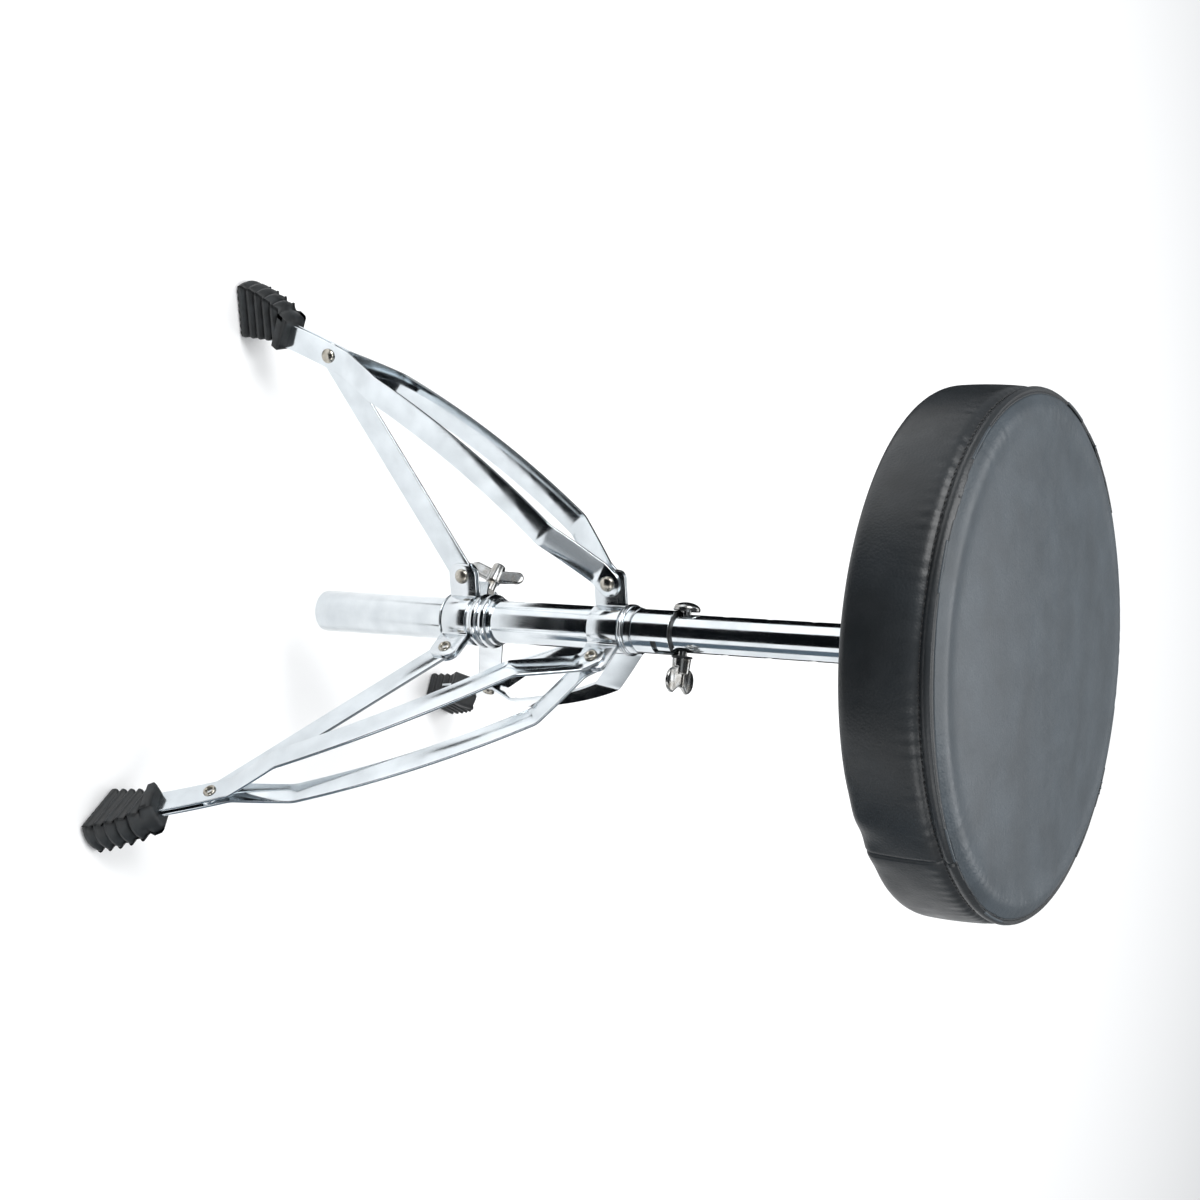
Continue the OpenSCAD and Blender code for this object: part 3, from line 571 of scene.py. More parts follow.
def bevelled_copy(node: str, width: float = 0.35) -> bpy.types.Object:
    """A copy of a CAD node: triangles merged, flat faces joined, edges broken by width millimetres."""
    mesh = bpy.data.objects[node].data.copy()
    bm = bmesh.new()
    bm.from_mesh(mesh)
    bmesh.ops.remove_doubles(bm, verts=bm.verts, dist=1e-6)
    bmesh.ops.dissolve_limit(bm, angle_limit=math.radians(0.5), verts=bm.verts, edges=bm.edges)
    bmesh.ops.recalc_face_normals(bm, faces=bm.faces)
    bm.to_mesh(mesh)
    bm.free()
    mesh.shade_smooth()
    mesh.set_sharp_from_angle(angle=math.radians(32.0))
    piece = bpy.data.objects.new(node + "_shape", mesh)
    bpy.context.scene.collection.objects.link(piece)
    bevel = piece.modifiers.new("broken_edges", "BEVEL")
    bevel.width = width * MM
    bevel.segments = 2
    bevel.limit_method = "ANGLE"
    bevel.angle_limit = math.radians(40.0)
    bevel.harden_normals = True
    return piece


# ---------- sizes taken from the frame ----------


def node_span(node: str) -> tuple:
    """Lowest and highest corner of a CAD node in millimetres."""
    low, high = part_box(node)
    return np.array(low) / MM, np.array(high) / MM


def joint_place(frame: dict, name: str) -> tuple:
    """Distance from the post's axis and height of a joint, in millimetres."""
    pos = next(j for j in frame["joints"] if j["name"] == name)["pos_m"]
    return math.hypot(pos[0], pos[1]) / MM, pos[2] / MM


@dataclass
class Linkage:
    """Where the tripod's pivots lie, read from the frame."""

    pivot_r: float
    upper_z: float
    lower_z: float
    foot_r: float
    foot_z: float

    @classmethod
    def read(cls, frame: dict) -> "Linkage":
        """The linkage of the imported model."""
        pivot_r, upper_z = joint_place(frame, "leg_a_fold")
        _, lower_z = joint_place(frame, "brace_a_fold")
        low, high = node_span("leg_a_rivet")
        return cls(pivot_r, upper_z, lower_z, (low[0] + high[0]) / 2, (low[2] + high[2]) / 2)

    @property
    def leg_len(self) -> float:
        """Distance between a leg's two pivots."""
        return math.hypot(self.foot_r - self.pivot_r, self.upper_z - self.foot_z)

    @property
    def leg_tilt(self) -> float:
        """Angle of a leg from straight down, in degrees."""
        return math.degrees(math.atan2(self.foot_r - self.pivot_r, self.upper_z - self.foot_z))

    @property
    def brace_len(self) -> float:
        """Distance between a brace's two pivots."""
        return math.hypot(self.foot_r - self.pivot_r, self.lower_z - self.foot_z)

    @property
    def brace_tilt(self) -> float:
        """Angle of a brace from straight down, in degrees."""
        return math.degrees(math.atan2(self.foot_r - self.pivot_r, self.lower_z - self.foot_z))

    def leg_place(self, azimuth: float) -> Place:
        """Frame of a leg: x from its upper pivot to its foot pivot, y across it, outwards."""
        return upright(azimuth, self.pivot_r, self.upper_z, self.leg_tilt)

    def brace_place(self, azimuth: float) -> Place:
        """Frame of a brace: x from its collar pivot to its foot pivot."""
        return upright(azimuth, self.pivot_r, self.lower_z, self.brace_tilt)


AZIMUTHS = {"a": 0.0, "b": 120.0, "c": 240.0}


# ---------- sub-assemblies ----------


@dataclass
class Hardware:
    """Shapes of the rivets, bolts and nuts."""

    head_r: float = 5.0
    head_h: float = 3.0
    tail_h: float = 1.6
    shank_r: float = 3.0

    def rivet(self, half_grip: float, gap: float = 0.0) -> Shell:
        """Rivet along z: a domed head below, a rolled tubular tail above, with an open gap in mid shank.

        Args:
            half_grip: half the thickness that the rivet holds.
            gap: half the length of shank left out in the middle.

        Returns:
            One closed shell, or two where there is a gap.
        """
        a = np.linspace(0, np.pi / 2, 9)
        dome = np.stack([self.head_r * np.sin(a), -half_grip - 0.5 - (self.head_h - 0.5) * np.cos(a)], -1)
        brim = [[self.head_r, -half_grip - 0.1], [self.head_r - 0.15, -half_grip]]
        tail_r = self.head_r * 0.88
        t = np.linspace(-0.15 * np.pi, 1.1 * np.pi, 10)
        roll_r = 0.5 * (tail_r - 2.2)
        rise = half_grip + 0.2 + (self.tail_h - 0.2) * np.sin(t).clip(0)
        roll = np.stack([tail_r - roll_r + roll_r * np.cos(t), rise], -1)
        bore = [[2.1, half_grip + 0.5], [1.8, half_grip - 0.8], [0, half_grip - 1.0]]
        if gap:
            head = np.concatenate([dome, brim, [[self.shank_r, -half_grip], [self.shank_r, -gap], [0, -gap]]])
            stub = [[0, gap], [self.shank_r, gap], [self.shank_r, half_grip], [tail_r, half_grip]]
            tail = np.concatenate([stub, roll, bore])
            return joined([lathe(head, 32), lathe(tail, 32)])
        shank = [[self.shank_r, -half_grip], [self.shank_r, half_grip], [tail_r, half_grip]]
        line = np.concatenate([dome, brim, shank, roll, bore])
        return lathe(line, 32)

    def wings(self, span: float, root: float, thickness: float, tall: float) -> Shell:
        """Two flat cast wings with round ends, standing on z and spreading along x.

        Each is a stack of rounded sections: the lower and upper edges run straight from the hub to
        where the round end begins, then close on the circle of that end.
        """
        tip = tall * 0.36
        centre = span / 2 - tip
        s = np.concatenate([np.linspace(0, centre, 10), centre + tip * np.sin(np.linspace(0.1, np.pi / 2, 12))])
        share = np.clip(s / centre, 0, 1)
        circle = np.sqrt(np.maximum(tip**2 - np.maximum(s - centre, 0) ** 2, 0.0))
        low = np.where(s < centre, root + (tall - 2 * tip - root) * share, tall - tip - circle)
        high = np.where(s < centre, tall * (0.72 + 0.28 * share), tall - tip + circle)
        depth = thickness * (1.5 - 0.6 * share) * np.where(s < centre, 1.0, 0.45 + 0.55 * circle / tip)
        section = bar_section(np.maximum(high - low, 0.05), depth, thickness * 0.45)
        rings = np.stack([s[:, None] + 0 * section[..., 0], section[..., 1],
                          ((low + high) / 2)[:, None] + section[..., 0]], -1)
        return joined([loft(rings), loft(rings * [-1, -1, 1])])

    def hub(self, radius: float, length: float, bore_r: float = 0.0) -> Shell:
        """Cast hub along z with a slight taper and broken edges, bored right through where bore_r is given."""
        if bore_r:
            loop = [[bore_r, 0], [radius, 0], [radius * 0.9, length], [bore_r, length]]
            return lathe(rounded(loop, 0.8), 40, ring=True)
        return lathe(rounded([[0, 0], [radius, 0], [radius * 0.86, length], [0, length]], 1.0, loop=False), 40)


@dataclass
class Post:
    """The outer tube, its bush and bead ring, the upper collar and the upper rivets."""

    linkage: Linkage
    hardware: Hardware
    wall: float = 1.5
    slot_w: float = 4.0
    slot_depth: float = 13.0
    slot_azimuth: float = 140.0
    slot_turn: float = 38.0
    bead_h: float = 4.0
    band_gap: float = 0.05
    band_h: float = 22.0
    ear_h: float = 23.0
    ear_corner: float = 5.0
    ear_reach: float = 8.5
    segments: int = 96

    def tube_shell(self, outer_r: float, wall: float, bottom: float, top: float) -> Shell:
        """A tube with rounded rims, as a loop of profile turned about the post."""
        loop = [[outer_r, bottom], [outer_r, top], [outer_r - wall, top], [outer_r - wall, bottom]]
        return lathe(rounded(loop, 0.5, 4), self.segments, ring=True)

    def slot_tools(self, outer_r: float, top: float) -> list:
        """Cutters of the rim's notch: a straight run down, and wedges that turn round the tube."""
        half = math.degrees(math.asin(self.slot_w / 2 / outer_r))
        spans = [(self.slot_azimuth - half, self.slot_azimuth + half, self.slot_w / 2, self.slot_depth + 2),
                 (self.slot_azimuth - self.slot_turn, self.slot_azimuth + half - 0.5, 0.0, self.slot_w)]
        tools = []
        for start, stop, low, high in spans:
            a = np.radians(np.linspace(start, stop, 12))
            arc = np.stack([np.cos(a), np.sin(a)], -1)
            plan = np.concatenate([arc * (outer_r + 2), arc[::-1] * (outer_r - 4)])
            rings = [np.column_stack([plan, np.full(len(plan), top - self.slot_depth + z)]) for z in (low, high)]
            tools.append(loft(np.array(rings)))
        return tools

    def bead(self, z: float, inner: float, outer: float) -> Shell:
        """Rolled ring with two bright rims, a groove between them and a short cone above."""
        a = np.linspace(-np.pi / 2, np.pi / 2, 9)
        rims = [np.stack([outer - 1.1 + 1.1 * np.cos(a), z + 1.2 + k * (self.bead_h - 2.2) + 1.1 * np.sin(a)], -1)
                for k in (0, 1)]
        top = z + self.bead_h
        cone = [[outer - 1.3, top + 0.1], [inner + 0.9, top + 3.4], [inner + 0.5, top + 5], [inner, top + 5],
                [inner, z]]
        return lathe(np.concatenate([*rims, rounded(cone, 0.3, 3)]), self.segments, ring=True)

    def build(self) -> None:
        """Makes the post's pieces and puts them on its body."""
        low, high = node_span("outer_tube")
        outer_r = high[0]
        tube = make_object("outer_tube_shape", self.tube_shell(outer_r, self.wall, low[2], high[2]))
        cut(tube, self.slot_tools(outer_r, high[2]))
        dress(tube, Finishes.TUBE_CHROME, "post", "chrome_tube", "outer_tube")
        dress(bevelled_copy("tube_bush", 0.2), Finishes.BLACK_NYLON, "post", "black_nylon", "tube_bush")
        ring_low, ring_high = node_span("upper_bead_ring")
        ring = make_object("upper_bead_ring_shape", self.bead(ring_low[2], outer_r + 0.05, ring_high[0]))
        dress(ring, Finishes.PRESSED_CHROME, "post", "chrome_pressing", "upper_bead_ring")
        for key, azimuth in AZIMUTHS.items():
            third = CollarThird(outer_r + self.band_gap, self.linkage.pivot_r + self.ear_reach, self.band_gap,
                                self.linkage.upper_z, self.band_h, self.ear_h, self.ear_corner)
            piece = make_object(f"upper_collar_{key}_shape", third.shell(azimuth))
            dress(piece, Finishes.PRESSED_CHROME, "post", "chrome_pressing", "upper_collar_" + key)
        shells = [self.hardware.rivet(4.0).placed(self.linkage.leg_place(a)) for a in AZIMUTHS.values()]
        rivets = make_object("upper_rivets_shape", joined(shells))
        dress(rivets, Finishes.RIVET_NICKEL, "post", "steel_rivet", "upper_rivets")


@dataclass
class CollarThird:
    """One pressed third of a collar: a band round the tube that turns out into an ear at each end."""

    band_r: float
    ear_end: float
    gap: float
    pivot_z: float
    band_h: float
    ear_h: float
    corner: float
    sheet: float = 1.5
    bend: float = 2.2

    def plan(self) -> tuple:
        """Middle line of the sheet in plan, from ear to ear, and each point's distance from an ear's end."""
        y0 = self.gap + self.sheet / 2
        ring = self.band_r + self.sheet / 2
        bend_x = math.sqrt((ring + self.bend) ** 2 - (y0 + self.bend) ** 2)
        centre = np.array([bend_x, y0 + self.bend])
        ear_x = self.ear_end - self.corner * (1 - np.cos(np.linspace(0, np.pi / 2, 10)))
        ear = np.concatenate([ear_x, np.linspace(ear_x[-1], bend_x, 8)[1:]])
        ear = np.stack([ear, np.full(len(ear), y0)], -1)
        tangent = math.atan2(-centre[1], -centre[0])
        a = np.linspace(-np.pi / 2, tangent, 9)[1:]
        bend = centre + self.bend * np.stack([np.cos(a), np.sin(a)], -1)
        start = math.atan2(centre[1], centre[0])
        b = np.linspace(start, math.radians(60), 22)[1:]
        half = np.concatenate([ear, bend, ring * np.stack([np.cos(b), np.sin(b)], -1)])
        mirror = np.array([[math.cos(math.radians(120)), math.sin(math.radians(120))],
                           [math.sin(math.radians(120)), -math.cos(math.radians(120))]])
        line = np.concatenate([half, (half @ mirror.T)[::-1][1:]])
        run = np.concatenate([[0], np.cumsum(np.linalg.norm(np.diff(line, axis=0), axis=1))])
        return line, np.minimum(run, run[-1] - run), ear_x[0] - bend_x

    def shell(self, azimuth: float) -> Shell:
        """A rounded section carried round the plan, as tall as the ear or the band, with round ear corners."""
        line, reach, ear_run = self.plan()
        fall = np.maximum(self.corner - reach, 0)
        corner = self.corner - np.sqrt(np.maximum(self.corner**2 - fall**2, 0))
        share = np.clip((reach - ear_run) / 4, 0, 1)
        share = share * share * (3 - 2 * share)
        height = self.ear_h + (self.band_h - self.ear_h) * share - 2 * corner
        section = bar_section(np.full(len(line), self.sheet), height, 0.4, 3)
        along = unit(np.gradient(line, axis=0))
        normal = np.stack([along[:, 1], -along[:, 0]], -1)
        flat = line[:, None] + section[..., :1] * normal[:, None]
        rings = np.concatenate([flat, self.pivot_z + section[..., 1:]], -1)
        turn = Place(np.zeros(3), np.stack([radial(azimuth), radial(azimuth + 90), [0.0, 0.0, 1.0]]))
        return loft(rings).placed(turn)


@dataclass
class SlidingCollar:
    """The sleeve with its lock ring, the lower collar, its rivets, and the thumb bolt that locks it."""

    linkage: Linkage
    hardware: Hardware
    bolt_azimuth: float = -47.0
    wing_turn: float = 20.0
    hub_start: float = 31.0
    hub_len: float = 14.0
    band_r: float = 15.55
    band_h: float = 18.5
    ear_h: float = 21.0
    ear_corner: float = 8.0
    ear_gap: float = 1.15
    ear_reach: float = 8.5
    segments: int = 96

    def sleeve(self, low: Array, high: Array) -> Shell:
        """Sleeve turned about the post: a thin flange below, and a ring of two beads with a groove above."""
        inner, ring_r, top = 14.3, high[0], high[2]
        body = 15.5
        a = np.linspace(-np.pi / 2, np.pi / 2, 9)
        flange = np.stack([body + 0.8 + 0.7 * np.cos(a), low[2] + 0.7 + 0.7 * np.sin(a)], -1)
        beads = [np.stack([ring_r - r + r * np.cos(a), z + r * np.sin(a)], -1)
                 for r, z in ((2.6, top - 12.4), (3.4, top - 5.4))]
        shape = [[[inner, low[2]]], flange,
                 [[body, low[2] + 1.6], [body, top - 15.4], [ring_r - 3, top - 15.2]], *beads,
                 [[body + 0.4, top - 1.8], [body, top], [inner, top]]]
        return lathe(np.concatenate([np.asarray(s, float) for s in shape]), self.segments, ring=True)

    def build(self) -> None:
        """Makes the collar's pieces and puts them on its body, and the bolt on its own."""
        low, high = node_span("slide_sleeve")
        sleeve = make_object("slide_sleeve_shape", self.sleeve(low, high))
        dress(sleeve, Finishes.PRESSED_CHROME, "lower_collar", "chrome_pressing", "slide_sleeve")
        for key, azimuth in AZIMUTHS.items():
            third = CollarThird(self.band_r, self.linkage.pivot_r + self.ear_reach, self.ear_gap,
                                self.linkage.lower_z, self.band_h, self.ear_h, self.ear_corner)
            piece = make_object(f"lower_collar_{key}_shape", third.shell(azimuth))
            dress(piece, Finishes.PRESSED_CHROME, "lower_collar", "chrome_pressing", "lower_collar_" + key)
        places = [upright(a, self.linkage.pivot_r, self.linkage.lower_z) for a in AZIMUTHS.values()]
        shells = [self.hardware.rivet(2.7).placed(p) for p in places]
        rivets = make_object("lower_rivets_shape", joined(shells))
        dress(rivets, Finishes.RIVET_NICKEL, "lower_collar", "steel_rivet", "lower_rivets")
        bracket = bevelled_copy("lock_bracket", 0.4)
        dress(bracket, Finishes.PRESSED_CHROME, "lower_collar", "chrome_pressing", "lock_bracket")
        dress(bevelled_copy("lock_nut", 0.4), Finishes.CAST_ZINC, "lower_collar", "zinc_hardware", "lock_nut")
        nut_low, nut_high = node_span("lock_nut")
        axis = outward(self.bolt_azimuth, (nut_low[2] + nut_high[2]) / 2)
        foot, shank_r, top = 14.3, 3.6, self.hub_start + 1
        shank = lathe(rounded([[0, foot], [shank_r, foot], [shank_r, top], [0, top]], 0.4, loop=False), 32)
        hub = self.hardware.hub(5.0, self.hub_len)
        wings = self.hardware.wings(39, 0, 3, 13)
        seat = axis.moved(z=self.hub_start)
        bolt = joined([shank.placed(axis), hub.placed(seat), wings.placed(seat.turned(self.wing_turn))])
        dress(make_object("lock_bolt_shape", bolt), Finishes.CAST_ZINC, "lock_bolt", "zinc_hardware", "lock_bolt")


@dataclass
class Leg:
    """One leg: two arched strips, the foot rivet and the rubber foot."""

    key: str
    linkage: Linkage
    hardware: Hardware
    width: float = 17.0
    sheet: float = 2.0
    arch: float = 12.4
    wide: float = 20.7
    narrow: float = 15.4
    bulge: float = 0.8
    ear_plane: float = 2.7
    foot_plane: float = 2.15
    bend_blur: float = 2.4
    fins: int = 5
    fin_pitch: float = 6.7
    foot_w: float = 24.0

    @property
    def azimuth(self) -> float:
        """Direction of the leg about the post."""
        return AZIMUTHS[self.key]

    def strip(self, side: int) -> Shell:
        """A strip: a flat section carried down the leg along an arc, x^2 + y^2 = R^2 from the arc's centre.

        Sideways it runs straight between its bends, which a moving average rounds.  The upper end closes on
        a half circle about the pivot.

        Args:
            side: 1 for the strip towards rising azimuth, -1 for the other.

        Returns:
            The closed shell, in the model's frame.
        """
        length = self.linkage.leg_len
        arc_r = (length**2 / 4 + self.arch**2) / (2 * self.arch)
        end = -self.width / 2 * np.cos(np.linspace(0, np.pi / 2, 14))
        x = np.concatenate([end, np.arange(0.8, length + 54, 0.8)])
        inside = np.maximum(x, 0)
        y = self.arch - arc_r + np.sqrt(arc_r**2 - (inside - length / 2) ** 2)
        slope = (length / 2) / (arc_r - self.arch)
        y = np.where(x < 0, x * slope, y)
        belly = np.linspace(0, 1, 9)
        stations = [-20, 9, *(48 + (length - 98) * belly), length - 13, length + 80]
        half = [self.ear_plane, self.ear_plane,
                *(self.wide + (self.narrow - self.wide) * belly + 4 * self.bulge * belly * (1 - belly)),
                self.foot_plane, self.foot_plane]
        blur = np.linspace(-self.bend_blur, self.bend_blur, 9)
        z = np.mean([np.interp(x + b, stations, half) for b in blur], axis=0)
        path = np.stack([x, y, -side * z], -1)
        across = unit(np.stack([np.where(x < 0, -slope, x - length / 2), np.where(x < 0, 1.0, y - self.arch + arc_r),
                                0 * x], -1))
        width = np.where(x < 0, 2 * np.sqrt(np.maximum(self.width**2 / 4 - x**2, 1e-4)), self.width)
        section = bar_section(width, np.full(len(x), self.sheet), 0.55)
        return sweep(path, across, section).placed(self.linkage.leg_place(self.azimuth))

    def foot(self) -> Shell:
        """The rubber foot: horizontal rounded outlines stacked up the foot, in and out between pointed fins.

        Each outline is a box with a rounded toe.  Its ends run from heel line to toe line, which lean back as
        they rise, and the groove between two fins draws it in.  The cap's outlines tilt to lie across the leg.
        """
        heel = self.linkage.foot_r + 14.5
        toe = heel + 38.5
        half_w = self.foot_w / 2
        levels = []
        for k in range(self.fins):
            z = 1.6 + k * self.fin_pitch
            out, back = toe - 2.0 * k - 0.42 * k * k, heel - 0.9 * k
            fin = [(0.0, 1.2), (1.3, 0.3), (2.6, 0.0), (3.9, 0.5), (5.0, 2.4), (5.9, 3.2)]
            if k == 0:
                fin[0] = (0.0, 0.5)
            levels += [(back + d * 0.6, z + h, out - d, z + h, half_w - d) for h, d in fin]
        top = [(heel - 4.8, 26.5, toe - 20.6, 35.6, half_w - 2.4), (heel - 6.6, 27.8, toe - 21.2, 37.4, half_w),
               (heel - 9.2, 31.2, toe - 24.4, 41.2, half_w), (heel - 8.4, 33.0, toe - 26.6, 42.4, half_w - 1.1),
               (heel - 7.0, 33.6, toe - 27.8, 42.3, half_w - 2.6)]
        levels = [lv for lv in levels if lv[3] < 34.6] + top
        lv = np.array(levels)
        u = np.linspace(-1, 1, 17)
        bow = 3.4 * (1 - u**2)
        corner = np.where(np.abs(u) > 0.999, 1.0, 0.0)
        rings = []
        for r0, z0, r1, z1, half in lv:
            share_out = 1.0 - 0.5 * max(0.0, (z1 - 35.0) / 8)
            t_out = 1 + (bow * share_out - 3.4 - corner) / (r1 - r0)
            front = np.stack([t_out, u * half], -1)
            side_t = np.linspace(0.93, 0.06, 12)
            left = np.stack([side_t, np.full(12, half)], -1)
            rear = np.stack([np.where(np.abs(u[::-1]) > 0.999, 0.03, 0.0), u[::-1] * half], -1)
            right = np.stack([side_t[::-1], np.full(12, -half)], -1)
            plan = np.concatenate([front, left, rear, right])
            t, w = plan[:, 0], plan[:, 1]
            rings.append(np.stack([r0 + (r1 - r0) * t, w, z0 + (z1 - z0) * t], -1))
        body = loft(np.array(rings))
        shells = [body]
        pitch = 33.0 / 7
        for i in range(7):
            centre = heel + 2 + i * pitch + pitch * 0.28
            x = np.linspace(-half_w + 1.6, half_w - 1.6, 9)
            path = np.stack([np.full(9, centre), x, np.full(9, 1.4)], -1)
            section = bar_section(np.full(9, 2.6), np.full(9, 2.8), 0.6, 3)
            shells.append(sweep(path, np.tile([1.0, 0, 0], (9, 1)), section))
        turn = Place(np.zeros(3), np.stack([radial(self.azimuth), radial(self.azimuth + 90), [0.0, 0.0, 1.0]]))
        return joined(shells).placed(turn)

    def build(self) -> None:
        """Makes the leg's pieces and puts them on its body."""
        body, near = "leg_" + self.key, 1 if self.key == "a" else -1
        for name, side in (("near", near), ("far", -near)):
            node = f"leg_{self.key}_{name}_strip"
            dress(make_object(node + "_shape", self.strip(side)), Finishes.STRIP_CHROME, body, "chrome_strip", node)
        place = self.linkage.leg_place(self.azimuth).moved(x=self.linkage.leg_len)
        rivet = self.hardware.rivet(self.foot_plane + self.sheet / 2 + 0.05, self.foot_plane - self.sheet / 2)
        piece = make_object(f"leg_{self.key}_rivet_shape", rivet.placed(place))
        dress(piece, Finishes.RIVET_NICKEL, body, "steel_rivet", f"leg_{self.key}_rivet")
        foot = make_object(f"leg_{self.key}_foot_shape", self.foot(), 50.0)
        dress(foot, Finishes.FOOT_RUBBER, body, "foot_rubber", f"leg_{self.key}_foot")


@dataclass
class Brace:
    """One straight brace between the lower collar and a foot rivet."""

    key: str
    linkage: Linkage
    width: float = 17.0
    sheet: float = 2.0

    def shell(self) -> Shell:
        """A flat section carried along a straight line, closing on a half circle at each end."""
        length, r = self.linkage.brace_len, self.width / 2
        end = r * np.cos(np.linspace(0, np.pi / 2, 14))
        x = np.concatenate([-end, np.linspace(2, length - 2, 60), (length + end)[::-1]])
        beyond = np.maximum(np.maximum(-x, x - length), 0)
        width = 2 * np.sqrt(np.maximum(r**2 - beyond**2, 1e-4))
        path = np.stack([x, 0 * x, 0 * x], -1)
        section = bar_section(width, np.full(len(x), self.sheet), 0.55)
        return sweep(path, np.tile([0, 1.0, 0], (len(x), 1)), section)

    def build(self) -> None:
        """Makes the brace and puts it on its body."""
        shell = self.shell().placed(self.linkage.brace_place(AZIMUTHS[self.key]))
        node = "brace_" + self.key
        dress(make_object(node + "_shape", shell), Finishes.STRIP_CHROME, node, "chrome_strip", node)


@dataclass
class SeatPost:
    """The inner tube with its height holes, the height bolt, its washer and the wing nut."""

    post: Post
    hardware: Hardware
    azimuth: float = -18.0
    hole_r: float = 3.5
    pitch: float = 30.0
    wall: float = 1.5

    def build(self) -> None:
        """Makes the seat post's pieces and puts them on their bodies."""
        low, high = node_span("inner_tube")
        washer_low, washer_high = node_span("height_washer")
        bolt_z = (washer_low[2] + washer_high[2]) / 2
        inner_r = high[0]
        tube = make_object("inner_tube_shape", self.post.tube_shell(inner_r, self.wall, low[2], high[2]))
        tools = []
        for i in range(-3, 4):
            axis = outward(self.azimuth, bolt_z + i * self.pitch, -20)
            rod = lathe([[0, 0], [self.hole_r, 0], [self.hole_r, 40], [0, 40]], 32)
            tools.append(rod.placed(axis))
        cut(tube, tools)
        dress(tube, Finishes.TUBE_CHROME, "seat_post", "chrome_tube", "inner_tube")
        outer_r = node_span("outer_tube")[1][0]
        face = outer_r + 0.3
        axis = outward(self.azimuth, bolt_z)
        a = np.linspace(0, np.pi / 2, 10)
        head = np.stack([8.6 * np.cos(a), face + 1.0 + 4.4 * np.sin(a)], -1)
        rod = [[0, -(face + 19.5)], [3, -(face + 19.5)], [3, face], [8.4, face]]
        profile = np.concatenate([rounded(rod, 0.5, loop=False), head])
        bolt = make_object("height_bolt_shape", lathe(profile, 48).placed(axis))
        dress(bolt, Finishes.CAST_ZINC, "seat_post", "zinc_hardware", "height_bolt")
        dress(bevelled_copy("height_washer", 0.2), Finishes.BLACK_NYLON, "seat_post", "zinc_hardware", "height_washer")
        seat = outward(self.azimuth + 180, bolt_z, face + 1.35)
        nut = joined([self.hardware.hub(5.9, 10.0, 3.1).placed(seat),
                      self.hardware.wings(33, 2, 3.2, 22).placed(seat.turned(90))])
        dress(make_object("wing_nut_shape", nut), Finishes.CAST_ZINC, "wing_nut", "zinc_hardware", "wing_nut")


TOP_EDGE_DROP = 1.4


def seam_height() -> float:
    """Height of the seam between the top panel and the side band: the panel's edge and what it turns down."""
    return node_span("seat_top_panel")[0][2] + TOP_EDGE_DROP


